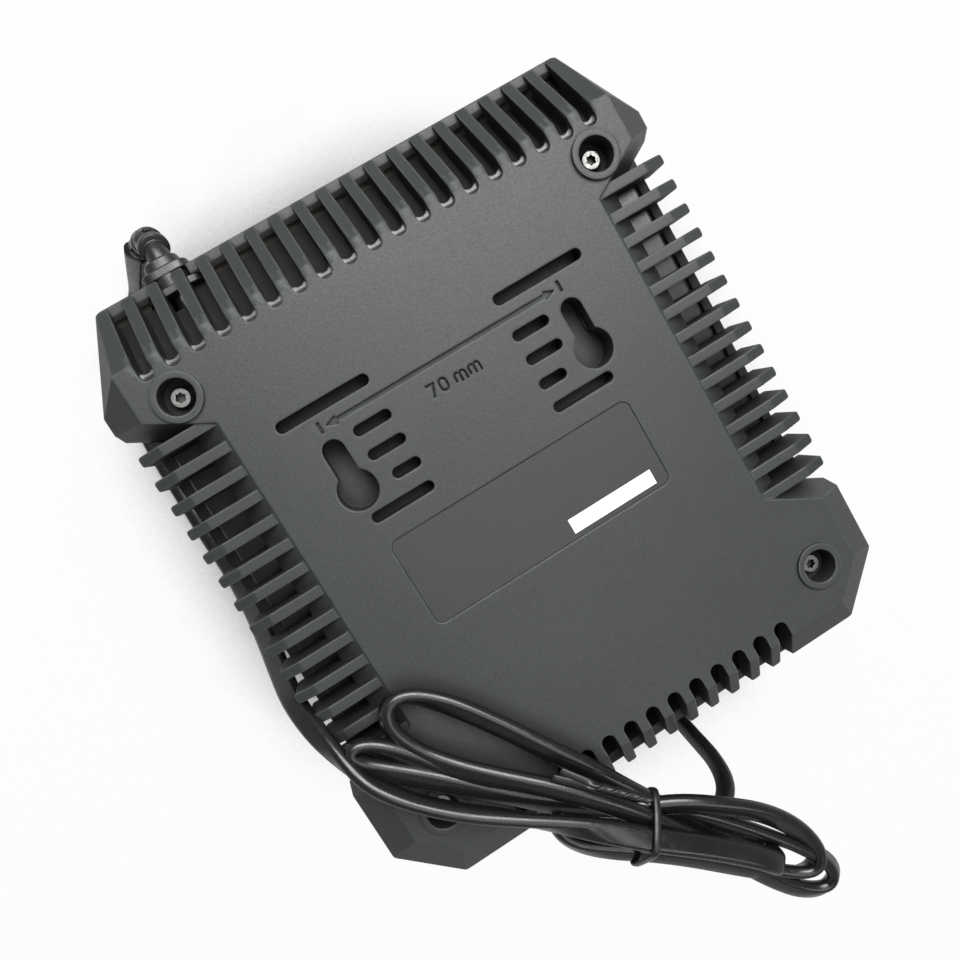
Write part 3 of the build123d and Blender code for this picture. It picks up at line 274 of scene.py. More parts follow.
@dataclass(frozen=True)
class Finish:
    """A surface finish. The plain one is a smooth moulded solid with a little grain.

    Attributes:
        name: the material's name.
        slot: the record's material slot that it stands for; not used.
        colour: base colour, linear.
        roughness: mean roughness.
        metallic: 1 for bare metal.
        grain_scale: grains per metre, 0 for none.
        grain_depth: height of the grain in metres.
        edge_radius: radius of the softened edges in metres, 0 for sharp.
        edge_wear_and_highlight: how much lighter the edges get, partly as wear and partly as a painted highlight.
        patch_amount: how much handling shows.
        specular: the shader's specular level.
        coat: weight of the clear coat.
        recess_shade: how much duller and darker deep recesses are; the darkening is painted shade.
    """

    name: str
    slot: str
    colour: Colour
    roughness: float = 0.5
    metallic: float = 0.0
    grain_scale: float = 900.0
    grain_depth: float = 0.00001
    edge_radius: float = 0.0
    edge_wear_and_highlight: float = 0.0
    patch_amount: float = 0.3
    specular: float = 0.5
    coat: float = 0.0
    recess_shade: float = 0.0

    def colour_socket(self, graph: Graph, place: Socket, tone: Socket) -> Socket:
        """Build the base colour, varied a little by the grain's tone."""
        dark, light = (lifted(self.colour, shade) for shade in GRAIN_SHADES)
        return graph.blend(tone, dark, light)

    def gloss_share(self, graph: Graph, place: Socket) -> Socket | float:
        """Share of the surface that is polished, 0 for none."""
        return 0.0

    def soft_share(self, graph: Graph, place: Socket) -> Socket | float:
        """Share of the surface whose edges are rounded more, 0 for none."""
        return 0.0

    def shade_free_share(self, graph: Graph, place: Socket) -> Socket | float:
        """Share of the surface that gets no painted recess shade."""
        return self.gloss_share(graph, place)

    def material(self, effects: Effects) -> Material:
        """Build the material.

        Args:
            effects: the shared node groups.

        Returns:
            The finished material.
        """
        made = bpy.data.materials.new(self.name)
        made.use_nodes = True
        made.node_tree.nodes.clear()
        graph = Graph(made.node_tree)
        place = graph.add("ShaderNodeTexCoord").outputs["Object"]
        grain = graph.group(effects.grain, vector=place, scale=max(self.grain_scale, 1.0))
        patches = graph.group(effects.patches, vector=place, scale=PATCH_SCALE, amount=self.patch_amount)

        colour = self.colour_socket(graph, place, grain.outputs["Tone"])
        colour = graph.blend(patches.outputs["Mask"], colour, lifted(self.colour, *DUST_LIFT))
        normal: Socket | None = None
        if self.edge_radius:
            rounded = graph.add("ShaderNodeBevel", {"Radius": self.edge_radius}, samples=6)
            normal = rounded.outputs[0]
            softer = self.soft_share(graph, place)
            if isinstance(softer, Socket):
                wide = graph.add("ShaderNodeBevel", {"Radius": 3 * self.edge_radius}, samples=6)
                mixed = graph.add("ShaderNodeMix", {0: softer, 4: normal, 5: wide.outputs[0]}, data_type="VECTOR")
                normal = mixed.outputs[1]
            flat = graph.add("ShaderNodeNewGeometry").outputs["Normal"]
            facing = graph.add("ShaderNodeVectorMath", {0: normal, 1: flat}, operation="DOT_PRODUCT")
            edge = graph.ramp(facing.outputs["Value"], *EDGE_FACING)
            # wear and painted highlight: rounded edges are lightened, partly as wear and partly as a painted
            # highlight where they catch the light
            wear_and_highlight = graph.group(effects.worn_and_lit_edge, vector=place, edge=edge, amount=self.edge_wear_and_highlight)
            colour = graph.blend(wear_and_highlight.outputs["Mask"], colour, lifted(self.colour, *WEAR_AND_HIGHLIGHT_LIFT))
        swing = (self.roughness + ROUGH_SWING, self.roughness - ROUGH_SWING)
        rough = graph.ramp(grain.outputs["Tone"], 0.0, 1.0, *swing)
        rough = graph.math("MULTIPLY_ADD", patches.outputs["Mask"], 0.14, rough)
        polish = self.gloss_share(graph, place)
        if self.recess_shade:
            # painted shade: deep recesses are darkened by how closed in they are, and made rougher
            sunk = graph.add("ShaderNodeAmbientOcclusion", {"Distance": RECESS_SHADE_REACH}, samples=6)
            depth = graph.product(
                graph.ramp(sunk.outputs["AO"], *OPEN_RECESS),
                self.recess_shade,
                graph.math("SUBTRACT", 1.0, self.shade_free_share(graph, place)),
            )
            colour = graph.blend(depth, colour, lifted(self.colour, 0.2))
            rough = graph.math("MULTIPLY_ADD", depth, 0.35, rough)
        height = grain.outputs["Height"]
        if isinstance(polish, Socket):
            rough = graph.math("MULTIPLY", rough, graph.math("MULTIPLY_ADD", polish, -0.5, 1.0))
            height = graph.math("MULTIPLY", height, graph.math("SUBTRACT", 1.0, polish))
        bump_inputs = {"Height": height, "Distance": self.grain_depth, "Strength": 1.0}
        if normal is not None:
            bump_inputs["Normal"] = normal
        bump = graph.add("ShaderNodeBump", bump_inputs)
        shader = graph.add("ShaderNodeBsdfPrincipled", {
            "Base Color": colour, "Roughness": rough, "Normal": bump.outputs[0], "Metallic": self.metallic,
            "Specular IOR Level": self.specular, "Coat Weight": self.coat, "Coat Roughness": COAT_ROUGHNESS,
        })
        self.finish_shader(graph, shader)
        graph.add("ShaderNodeOutputMaterial", {"Surface": shader.outputs[0]})
        return made

    def finish_shader(self, graph: Graph, shader: bpy.types.Node) -> None:
        """Set what this finish needs beyond the plain one."""


@dataclass(frozen=True)
class HousingPlastic(Finish):
    """Spark-textured housing plastic: smooth ledges in the rear slots, smooth inner shelves, painted shade and
    light in the rear comb.

    Its sizes are places in the object's own coordinates, in metres. A width or reach is measured
    from the middle, and comb_wall and comb_floor are heights along the fall of the rear slope.
    """

    ledge_start: float = 65.9 * MM
    ledge_end: float = 67.2 * MM
    ledge_top: float = 73.0 * MM
    shelf_width: float = 71.5 * MM
    shelf_top: float = 61.2 * MM
    comb_width: float = 67 * MM
    comb_end: float = 85.2 * MM
    comb_fall: float = 0.7
    comb_floor: float = 117.4 * MM
    comb_wall: float = 121.9 * MM
    rim_start: float = 82.2 * MM
    rim_face: float = 84.8 * MM
    rim_top: float = 61.55 * MM
    comb_low: float = 50 * MM
    floor_end_light_fade: float = 1.0 * MM
    ledge_shade: float = 1.5 * MM
    ledge_highlight_fade: float = 0.5 * MM
    soft_middle: float = 70 * MM
    soft_reach: float = 2.6 * MM
    shelf_length: float = 62 * MM
    # painted shade: near-black walls between the rear ribs
    rib_wall_shade_colour: Colour = (0.0035, 0.0037, 0.0036)
    # painted shade: dark brown floor between the rear ribs
    slot_floor_shade_colour: Colour = (0.0125, 0.0108, 0.0092)
    # painted light: the slot floor's end by the rim, made lighter where the rim's shadow falls
    floor_end_light_colour: Colour = (0.055, 0.05, 0.044)
    # painted light: the rim's inner face at the end of the slots, made pale
    rim_light_colour: Colour = (0.3, 0.3, 0.29)
    # painted shade before each ledge, then a painted highlight on it
    shade_colour: Colour = (0.006, 0.0065, 0.006)
    ledge_highlight_colour: Colour = (0.12, 0.125, 0.12)

    def comb_part(self, graph: Graph, place: Socket, start: float) -> tuple[Socket, ...]:
        """Mark the space of the rear comb.

        Args:
            graph: the graph that asks.
            place: the object coordinates.
            start: where along Y the part begins, metres.

        Returns:
            The mask, and the Y and Z coordinates.
        """
        across, along, height = graph.axes(place)
        mask = graph.product(
            graph.near(across, 0.0, self.comb_width),
            graph.above(height, self.comb_low),
            graph.above(along, start),
            graph.below(along, self.comb_end),
        )
        return mask, along, height

    def colour_socket(self, graph: Graph, place: Socket, tone: Socket) -> Socket:
        """Paint shade on the walls and floor between the rear ribs, paint light on the floor's end and on the rim
        at their end, and paint shade and a highlight on the ledges.

        Args:
            graph: the material's graph.
            place: object coordinates.
            tone: the grain's tone.

        Returns:
            The colour.
        """
        comb, along, height = self.comb_part(graph, place, self.ledge_end)
        line = graph.math("MULTIPLY_ADD", along, self.comb_fall, height)
        colour = super().colour_socket(graph, place, tone)
        # painted shade on the walls between the rear ribs
        rib_wall_shade = graph.product(
            comb,
            graph.below(line, self.comb_wall),
            graph.below(height, self.ledge_top),
            graph.below(along, self.rim_face),
        )
        colour = graph.blend(rib_wall_shade, colour, rgba(self.rib_wall_shade_colour))
        # painted shade on the slot floors, with painted light at their end by the rim
        floor_end_light = graph.ramp(along, self.rim_start, self.rim_start + self.floor_end_light_fade)
        floor = graph.blend(floor_end_light, rgba(self.slot_floor_shade_colour), rgba(self.floor_end_light_colour))
        colour = graph.blend(graph.product(comb, graph.below(line, self.comb_floor)), colour, floor)
        # painted light on the rim's inner face
        rim = graph.product(comb, graph.above(along, self.rim_face), graph.below(height, self.rim_top))
        colour = graph.blend(rim, colour, rgba(self.rim_light_colour))
        # painted shade just before each ledge, then a painted highlight along it
        ledge, along, _ = self.comb_part(graph, place, self.ledge_start - self.ledge_shade)
        ledge = graph.product(ledge, graph.below(along, self.ledge_end), graph.below(height, self.ledge_top))
        ledge_highlight = graph.ramp(along, self.ledge_start, self.ledge_start + self.ledge_highlight_fade)
        shade = graph.blend(ledge_highlight, rgba(self.shade_colour), rgba(self.ledge_highlight_colour))
        return graph.blend(ledge, colour, shade)

    def shade_free_share(self, graph: Graph, place: Socket) -> Socket:
        """Keep the polished parts and the end of the rear comb free of the painted recess shade.

        Args:
            graph: the material's graph.
            place: object coordinates.

        Returns:
            The share.
        """
        comb, _, height = self.comb_part(graph, place, self.rim_start)
        comb = graph.product(comb, graph.below(height, self.rim_top))
        return graph.math("MAXIMUM", comb, self.gloss_share(graph, place))

    def soft_share(self, graph: Graph, place: Socket) -> Socket:
        """Mark the strip where the rear ribs leave the base plate, with the slots' inner ends.

        Args:
            graph: the material's graph.
            place: object coordinates.

        Returns:
            The share.
        """
        across, along, _ = graph.axes(place)
        return graph.product(
            graph.near(across, 0.0, self.comb_width), graph.near(along, self.soft_middle, self.soft_reach)
        )

    def gloss_share(self, graph: Graph, place: Socket) -> Socket:
        """Mark the ledges at the inner ends of the rear slots, and the inside of the dock shell.

        Args:
            graph: the material's graph.
            place: object coordinates.

        Returns:
            The share.
        """
        across, along, height = graph.axes(place)
        on_ledge = graph.product(
            graph.above(along, self.ledge_start),
            graph.below(along, self.ledge_end),
            graph.below(height, self.ledge_top),
            graph.near(across, 0.0, self.comb_width),
        )
        on_shelf = graph.product(
            graph.near(across, 0.0, self.shelf_width),
            graph.near(along, 0.0, self.shelf_length),
            graph.below(height, self.shelf_top),
        )
        return graph.math("MAXIMUM", on_ledge, on_shelf)


@dataclass(frozen=True)
class LabelFilm(Finish):
    """Dark film with one blank pale panel for writing on."""

    panel_middle: tuple[float, float] = (19.3, -20.05)
    panel_size: tuple[float, float] = (25.4, 4.1)
    panel_colour: Colour = (0.86, 0.88, 0.86)

    def colour_socket(self, graph: Graph, place: Socket, tone: Socket) -> Socket:
        """Lay the panel over the film's colour.

        Args:
            graph: the material's graph.
            place: object coordinates.
            tone: the grain's tone.

        Returns:
            The colour.
        """
        spans = [
            graph.near(axis, middle * MM, size / 2 * MM)
            for axis, middle, size in zip(graph.axes(place), self.panel_middle, self.panel_size)
        ]
        film = super().colour_socket(graph, place, tone)
        return graph.blend(graph.product(*spans), film, rgba(self.panel_colour))


@dataclass(frozen=True)
class SolderMask(Finish):
    """Green board with lighter copper tracks under the mask."""

    track_scale: float = 90.0
    track_width: float = 0.05
    track_colour: Colour = (0.05, 0.34, 0.17)
    track_share: float = 0.75

    def colour_socket(self, graph: Graph, place: Socket, tone: Socket) -> Socket:
        """Lay a pattern of tracks under the mask.

        Args:
            graph: the material's graph.
            place: object coordinates.
            tone: the grain's tone.

        Returns:
            The colour.
        """
        tracks = graph.add(
            "ShaderNodeTexBrick",
            {
                "Vector": place,
                "Scale": self.track_scale,
                "Mortar Size": self.track_width,
                "Color1": rgba(self.colour),
                "Color2": lifted(self.colour, 0.8),
                "Mortar": rgba(self.track_colour),
            },
        )
        return graph.blend(self.track_share, super().colour_socket(graph, place, tone), tracks.outputs[0])


@dataclass(frozen=True)
class ClearFinish(Finish):
    """Clear plastic or glass."""

    through: float = 0.85
    refraction: float = 1.49

    def finish_shader(self, graph: Graph, shader: bpy.types.Node) -> None:
        """Let light through."""
        shader.inputs["Transmission Weight"].default_value = self.through
        shader.inputs["IOR"].default_value = self.refraction


HOUSING = HousingPlastic(
    "housing_plastic", "housing", (0.0215, 0.0247, 0.0225), 0.44, 0.0, 2900.0, 0.000042, 0.0008, 1.0,
    0.3, 0.36, 0.0, 1.0,
)
LABEL = LabelFilm("label_film", "label", (0.024, 0.0262, 0.025), 0.4, 0.0, 2500.0, 0.000008, 0.0, 0.0, 0.2, 0.3)
SHEATH = Finish(
    "cord_sheath", "cord_pvc", (0.0055, 0.006, 0.0062), 0.23, 0.0, 500.0, 0.00001, 0.0, 0.0, 0.5, 0.56
)
RELIEF_RUBBER = Finish(
    "relief_rubber", "cord_pvc", (0.0095, 0.0098, 0.0097), 0.32, 0.0, 900.0, 0.00001, 0.0004, 0.5,
    0.5, 0.55, 0.0, 1.0,
)
TIE_FILM = Finish("tie_film", "tie_film", (0.01, 0.011, 0.011), 0.3, 0.0, 700.0, 0.00001, 0.0, 0.0, 0.5, 0.36)
SCREW_STEEL = Finish(
    "screw_steel", "screw_steel", (0.27, 0.27, 0.26), 0.27, 1.0, 1500.0, 0.000006, 0.0002, 0.6, 0.3, 0.5, 0.0, 1.0
)
NODE_FINISHES: dict[Finish, tuple[str, ...]] = {
    HOUSING: ("base_shell", "dock_shell"),
    LABEL: ("rating_label",),
    SolderMask("solder_mask", "board", (0.012, 0.16, 0.075), 0.3, 0.0, 900.0, 0.000006): (
        "circuit_board", "led_board",
    ),
    SCREW_STEEL: ("board_screws", "fan_screws", "clamp_screws"),
    Finish("ferrite", "ferrite", (0.055, 0.055, 0.058), 0.55, 0.0, 1500.0, 0.00002, 0.0003, 0.2): (
        "transformer_core", "line_choke",
    ),
    Finish("winding_tape", "winding_tape", (0.72, 0.5, 0.05), 0.3, 0.0, 600.0, 0.00001, 0.0003): (
        "transformer_winding",
    ),
    Finish("enamelled_copper", "copper", (0.62, 0.26, 0.11), 0.28, 0.8, 1400.0, 0.00001, 0.0, 0.0, 0.3): (
        "choke_winding", "fan_stator",
    ),
    Finish("capacitor_sleeve", "capacitor_sleeve", (0.02, 0.026, 0.07), 0.28, 0.0, 600.0, 0.000006): (
        "bulk_capacitor", "output_capacitors",
    ),
    Finish("film_box", "film_box", (0.68, 0.5, 0.06), 0.35, 0.0, 900.0, 0.00001, 0.0003): ("x_capacitor",),
    Finish("moulded_chip", "semiconductor", (0.022, 0.022, 0.023), 0.45, 0.0, 1500.0, 0.00001, 0.0002, 0.2): (
        "bridge_rectifier", "control_chip", "power_transistor", "output_rectifier",
    ),
    Finish("inner_plastic", "inner_plastic", (0.03, 0.03, 0.032), 0.42, 0.0, 1200.0, 0.000012, 0.0003, 0.2): (
        "mains_connector", "terminal_block", "cord_clamp", "fan_frame", "fan_rotor",
    ),
    ClearFinish("fuse_glass", "fuse_glass", (0.92, 0.94, 0.93), 0.06, 0.0, 600.0, 0.000002): ("mains_fuse",),
    ClearFinish("light_pipe_clear", "clear_plastic", (0.85, 0.9, 0.9), 0.12, 0.0, 600.0, 0.000004): ("light_pipe",),
    Finish("led_lens", "led_lens", (0.62, 0.72, 0.6), 0.3, 0.0, 600.0, 0.000004): ("status_leds",),
    Finish("sink_aluminium", "sink_aluminium", (0.78, 0.79, 0.8), 0.34, 1.0, 1200.0, 0.000008, 0.0002, 0.0, 0.3): (
        "primary_heat_sink", "output_heat_sink",
    ),
    Finish("contact_metal", "contact_metal", (0.8, 0.74, 0.62), 0.22, 1.0, 900.0, 0.000004, 0.0002, 0.0, 0.2): (
        "terminal_blades", "plug_pins",
    ),
    SHEATH: ("plug_body", "cord_jacket_end"),
    **{
        Finish(f"{name}_insulation", f"{name}_wire", colour, 0.35, 0.0, 700.0, 0.000006): nodes
        for name, colour, nodes in (
            ("red", (0.42, 0.015, 0.012), ("dc_lead_positive", "fan_lead")),
            ("black", (0.018, 0.018, 0.018), ("dc_lead_negative",)),
            ("brown", (0.16, 0.06, 0.02), ("mains_lead_brown",)),
            ("blue", (0.015, 0.1, 0.42), ("mains_lead_blue",)),
        )
    },
}


class Wardrobe:
    """Builds each finish once and puts it on pieces."""

    def __init__(self) -> None:
        """Build the shared effects; the materials come as they are asked for."""
        self.effects = Effects()
        self.made: dict[str, Material] = {}

    def get(self, finish: Finish) -> Material:
        """Give a finish's material, made on first use.

        Args:
            finish: the finish to build or look up.

        Returns:
            Its material.
        """
        if finish.name not in self.made:
            self.made[finish.name] = finish.material(self.effects)
        return self.made[finish.name]

    def dress(self, piece: Piece, finish: Finish) -> None:
        """Put a finish on every slot of a piece.

        Args:
            piece: the object to dress.
            finish: what it gets.
        """
        made = self.get(finish)
        if not piece.material_slots:
            piece.data.materials.append(made)
        for place in piece.material_slots:
            place.material = made


def add_mesh(name: str, points: list[Vector], faces: list[tuple[int, ...]], smooth: bool = True) -> Piece:
    """Make a mesh object at the origin.

    Args:
        name: its name.
        points: its vertices, in metres.
        faces: its faces.
        smooth: whether it is shaded smooth.

    Returns:
        The linked object.
    """
    mesh = bpy.data.meshes.new(name)
    mesh.from_pydata([tuple(point) for point in points], [], faces)
    mesh.update()
    for face in mesh.polygons:
        face.use_smooth = smooth
    return new_object(name, mesh)


def ring_faces(rings: int, sides: int, closed: bool = False, capped: bool = True) -> list[tuple[int, ...]]:
    """Give the faces of a tube of rings that lie one after another.

    Args:
        rings: number of rings.
        sides: points in each ring.
        closed: whether the last ring joins the first.
        capped: whether the two open ends get a face each.

    Returns:
        The faces, pointing outwards for rings that turn right-handed about the way they go.
    """
    faces: list[tuple[int, ...]] = []
    for ring in range(rings if closed else rings - 1):
        here, there = ring * sides, (ring + 1) % rings * sides
        for side in range(sides):
            after = (side + 1) % sides
            faces.append((here + side, here + after, there + after, there + side))
    if capped and not closed:
        faces.append(tuple(reversed(range(sides))))
        faces.append(tuple(range((rings - 1) * sides, rings * sides)))
    return faces


def nurbs_curve(name: str, control: list[Vector]) -> Piece:
    """Make a smooth open spline with a route as its control points.

    Args:
        name: the object's name.
        control: the route.

    Returns:
        The curve object.
    """
    curve = bpy.data.curves.new(name, "CURVE")
    curve.dimensions = "3D"
    spline = curve.splines.new("NURBS")
    spline.points.add(len(control) - 1)
    for place, point in zip(spline.points, control):
        place.co = (*point, 1.0)
    spline.order_u = 3
    spline.use_endpoint_u = True
    return new_object(name, curve)


def nurbs_points(name: str, control: list[Vector], steps: int) -> list[Vector]:
    """Read the points of a smooth open spline through a route.

    Args:
        name: name for the passing curve.
        control: the route, as control points.
        steps: samples in each span.

    Returns:
        The points along the spline, in order.
    """
    holder = nurbs_curve(name, control)
    curve = holder.data
    curve.splines[0].resolution_u = steps
    bpy.context.view_layer.update()
    mesh = bpy.data.meshes.new_from_object(holder)
    points = [vertex.co.copy() for vertex in mesh.vertices]
    bpy.data.meshes.remove(mesh)
    bpy.data.objects.remove(holder)
    bpy.data.curves.remove(curve)
    return points


# ---- mains cord ------------------------------------------------------------------------------
@dataclass
class MainsCord:
    """Flat two-core mains cord, from the strain relief over its hank to the plug.

    Attributes:
        width: the flat sheath's width, metres.
        thickness: its thickness.
        route: stretches in order; each point is x, y, z in millimetres and how far the sheath
            is rolled, in right angles: 0 lies flat, 1 stands on its edge, and between them
            the edge on the right, looking along the cord, is the higher one.
        sides: points round the section.
        steps: samples of the line in each span.
        first_wide: which way the sheath's width points where the line starts upright.
        steep: rise of the upright at which the roll starts to count, and how soon it is full.
        passes: how often the section's turn is evened out.
    """

    width: float = 6.4 * MM
    thickness: float = 3.6 * MM
    sides: int = 20
    steps: int = 5
    first_wide: Point = (0.85, -0.5, 0.0)
    steep: tuple[float, float] = (0.25, 0.35)
    passes: int = 6
    route: dict[str, tuple[tuple[float, ...], ...]] = field(default_factory=lambda: {
        "supply": (
            (-53.8, 103.3, 40, 0), (-57.3, 103, 30, 0), (-61.2, 102, 19, 0), (-64.2, 101, 10, 0),
            (-71, 96.5, 4.2, 0), (-79, 88, 2.7, 0), (-85, 75, 2.7, 0), (-87.6, 58, 2.7, 0), (-87.9, 41, 3, 0),
            (-87.3, 26.2, 7.5, 0), (-85.3, 12.4, 15, 0),
        ),
        "climb": (
            (-83.8, 1.9, 25, 0), (-81.6, -7, 40, 0), (-80.2, -15.4, 54, 0), (-78.9, -21.8, 65, 0),
            (-76.4, -29.6, 73, -0.1), (-73.6, -37.7, 78, -0.6), (-70.8, -45.4, 81, -1), (-66.4, -52.2, 82, -1),
        ),
        "front strand": (
            (-60.8, -59.2, 82, -1), (-53.5, -66.5, 82, -1), (-44.7, -73.9, 82, -0.9), (-36, -81.8, 82, -0.5),
            (-26.2, -90.7, 83, 0.1), (-17.4, -99.5, 83, 0.3), (-8.2, -108.4, 82, 0.35), (1, -118.4, 80.6, 0.4),
        ),
        "end fold": (
            (6.2, -125, 79.8, 0.4), (8.9, -130, 77.6, 0.3), (8.9, -130, 71.6, 0.2), (7.7, -128.2, 69.4, 0.1),
        ),
        "back from the fold": (
            (4.6, -124, 70, 0.1), (-1.9, -113.8, 72, 0.25), (-7.8, -103.4, 74.5, 0.4), (-13, -93.8, 77, 0.36),
            (-17.7, -84.2, 79, 0.36), (-22.8, -73.9, 80, 0.36), (-29.2, -63.6, 80, 0.36),
            (-35.8, -52.4, 79.3, 0.36), (-42.7, -42, 78.8, 0.36),
        ),
        "large loop": (
            (-47.9, -35.9, 78.3, 0.55), (-52.4, -32.3, 78.3, 0.75), (-56.7, -32.2, 78.3, 1),
            (-59, -35.5, 78.3, 1.2), (-59.1, -41, 78.3, 1.4),
        ),
        "large loop return": (
            (-55.9, -49.2, 78.5, 1.75), (-49.2, -57.4, 79.5, 1.78), (-40.7, -65.2, 81, 1.64),
            (-32.3, -73.3, 82, 1.64), (-23.2, -83.8, 82, 1.64), (-15.2, -96.4, 80, 1.64),
            (-7.7, -110.6, 76, 1.64), (-0.6, -124.6, 72.5, 1.64),
        ),
        "outer end loop": (
            (6.3, -139.1, 70, 1.64), (12.6, -148.2, 69, 1.6), (18.9, -151.2, 69, 1.45),
            (22.9, -147.4, 70, 1.45), (21.3, -140.2, 71, 1.2),
        ),
        "outer end return": (
            (15, -130.7, 72, 0.8), (7.8, -121.1, 73, 0.5), (-0.2, -110.7, 74, 0.36), (-7.4, -102.3, 75, 0.36),
            (-13.7, -97.2, 75.5, 0.36), (-22.9, -89.5, 76, 0.36), (-33.2, -80, 77, 0.36),
            (-43, -70.1, 78, 0.36), (-52.3, -60.3, 78.3, 0.25), (-59.6, -52.8, 78.3, 0.15),
        ),
        "small loop": (
            (-66.1, -46.7, 78.3, 0.15), (-70.4, -41.9, 78.3, 0.4), (-71, -37.8, 78.3, 1),
            (-68, -37.1, 78.3, 1.3), (-63.4, -40.8, 78.3, 1.45),
        ),
        "small loop return": (
            (-58.1, -48, 78, 1.64), (-52.2, -57.7, 78, 1.64), (-44.8, -67.9, 78, 1.64),
            (-35.5, -78.5, 77, 1.64), (-25.1, -87.7, 76.5, 1.64), (-16.1, -93.6, 77, 1.64),
            (-6.4, -98.2, 78, 1.64), (2.4, -105.3, 78, 1.64),
        ),
        "inner end loop": (
            (11.4, -114, 77, 1.64), (17.6, -124.4, 75, 1.64), (20.5, -134.5, 73, 1.3), (19.4, -140.5, 72, 1),
            (14.4, -141.6, 71, 0.7),
        ),
        "inner end return": (
            (6.9, -136, 71, 0.36), (-2.5, -126, 72, 0.36), (-11.3, -115.6, 74, 0.36), (-19.9, -107.1, 75, 0.36),
            (-28.7, -100.1, 75, 0.36),
        ),
        "short loop": (
            (-35.2, -93.8, 75, 0.6), (-37.9, -87.6, 75, 0.85), (-36.4, -84, 75, 1.15), (-31.3, -86.2, 74, 1.4),
        ),
        "last strand": (
            (-23.8, -93.7, 72, 1.5), (-14.9, -104.3, 71, 1.5), (-4.7, -111.4, 69, 1.4), (4.3, -114.5, 66, 1.2),
            (9.9, -113.6, 60, 1), (11.9, -110.1, 52, 1), (11.8, -107.4, 42, 1),
        ),
        "tail": (
            (12, -104.5, 27, 1.2), (14, -101, 14.5, 1.6), (25, -99, 6.85, 2), (38, -99, 6.85, 2),
        ),
    })
    points: list[Vector] = field(default_factory=list)
    wide_axes: list[Vector] = field(default_factory=list)

    def control(self) -> list[tuple[float, ...]]:
        """Give the whole route as one list."""
        return [point for stretch in self.route.values() for point in stretch]

    def follow(self) -> None:
        """Read the smooth line and work out how the flat section stands along it."""
        control = self.control()
        self.points = nurbs_points("cord_line", [millimetres(point) for point in control], self.steps)
        last = len(self.points) - 1
        spans = len(control) - 2
        upright = Vector((0, 0, 1))
        before = Vector(self.first_wide)
        for index, point in enumerate(self.points):
            ahead = self.points[min(index + 1, last)] - self.points[max(index - 1, 0)]
            ahead.normalize()
            place = min(max(index / last * spans + 0.5, 0.0), len(control) - 1.001)
            share = place - int(place)
            roll = (control[int(place)][3] * (1 - share) + control[int(place) + 1][3] * share) * math.pi / 2
            carried = (before - ahead * before.dot(ahead)).normalized()
            rise = upright - ahead * upright.dot(ahead)
            trust = min(1.0, max(0.0, (rise.length - self.steep[0]) / self.steep[1]))
            if trust > 0:
                rise.normalize()
                wanted = turned_by(roll, ahead.cross(rise), rise)
                if wanted.dot(carried) < 0:
                    wanted.negate()
                carried = (carried * (1 - trust) + wanted * trust).normalized()
            self.wide_axes.append(carried)
            before = carried
        self._steady_axes()

    def _steady_axes(self) -> None:
        """Even out the turn of the section between neighbours."""
        for _ in range(self.passes):
            axes = self.wide_axes
            self.wide_axes = [
                (axes[max(i - 1, 0)] + axes[i] * 2 + axes[min(i + 1, len(axes) - 1)]).normalized()
                for i in range(len(axes))
            ]

    def section(self, index: int) -> list[Vector]:
        """Give the sheath's outline at one point of the line.

        Args:
            index: which point of the line.

        Returns:
            The outline's points, turning right-handed about the way that the cord goes.
        """
        last = len(self.points) - 1
        ahead = (self.points[min(index + 1, last)] - self.points[max(index - 1, 0)]).normalized()
        wide = (self.wide_axes[index] - ahead * self.wide_axes[index].dot(ahead)).normalized()
        thin = ahead.cross(wide)
        outline = []
        for side in range(self.sides):
            turn = 2 * math.pi * (side + 0.5) / self.sides
            edge = math.copysign((self.width - self.thickness) / 2, math.cos(turn))
            across = edge + math.cos(turn) * self.thickness / 2
            through = math.sin(turn) * self.thickness / 2
            outline.append(self.points[index] + wide * across + thin * through)
        return outline

    def build(self) -> Piece:
        """Make the sheath as one closed tube.

        Returns:
            The cord.
        """
        self.follow()
        points = [place for index in range(len(self.points)) for place in self.section(index)]
        return add_mesh("mains_cord", points, ring_faces(len(self.points), self.sides))

    def length(self) -> float:
        """Give the length of the cord's line in metres."""
        return sum((b - a).length for a, b in zip(self.points, self.points[1:]))


# ---- tie -------------------------------------------------------------------------------------
def hull(points: list[tuple[float, float]]) -> list[tuple[float, float]]:
    """Give the convex outline of flat points.

    Args:
        points: the points, in any order.

    Returns:
        The outline's corners, counter-clockwise.
    """
    ordered = sorted(set(points))

    def half(sequence: list[tuple[float, float]]) -> list[tuple[float, float]]:
        """Give one side of the outline.

        Args:
            sequence: the points, sorted along that side.

        Returns:
            Its corners without the last one.
        """
        side: list[tuple[float, float]] = []
        for point in sequence:
            while len(side) > 1:
                (ax, ay), (bx, by) = side[-2:]
                if (bx - ax) * (point[1] - ay) - (by - ay) * (point[0] - ax) > 0:
                    break
                side.pop()
            side.append(point)
        return side[:-1]

    return half(ordered) + half(ordered[::-1])


def resample(loop: list[Vector], count: int) -> list[Vector]:
    """Spread points evenly round a closed loop.

    Args:
        loop: the loop's corners.
        count: how many points to give.

    Returns:
        The even points.
    """
    ends = loop[1:] + loop[:1]
    lengths = [(b - a).length for a, b in zip(loop, ends)]
    step = sum(lengths) / count
    spread, position, run = [], 0.0, 0
    for index in range(count):
        target = index * step
        while position + lengths[run] < target and run < len(loop) - 1:
            position += lengths[run]
            run += 1
        share = (target - position) / max(lengths[run], 1e-9)
        spread.append(loop[run].lerp(ends[run], min(share, 1.0)))
    return spread


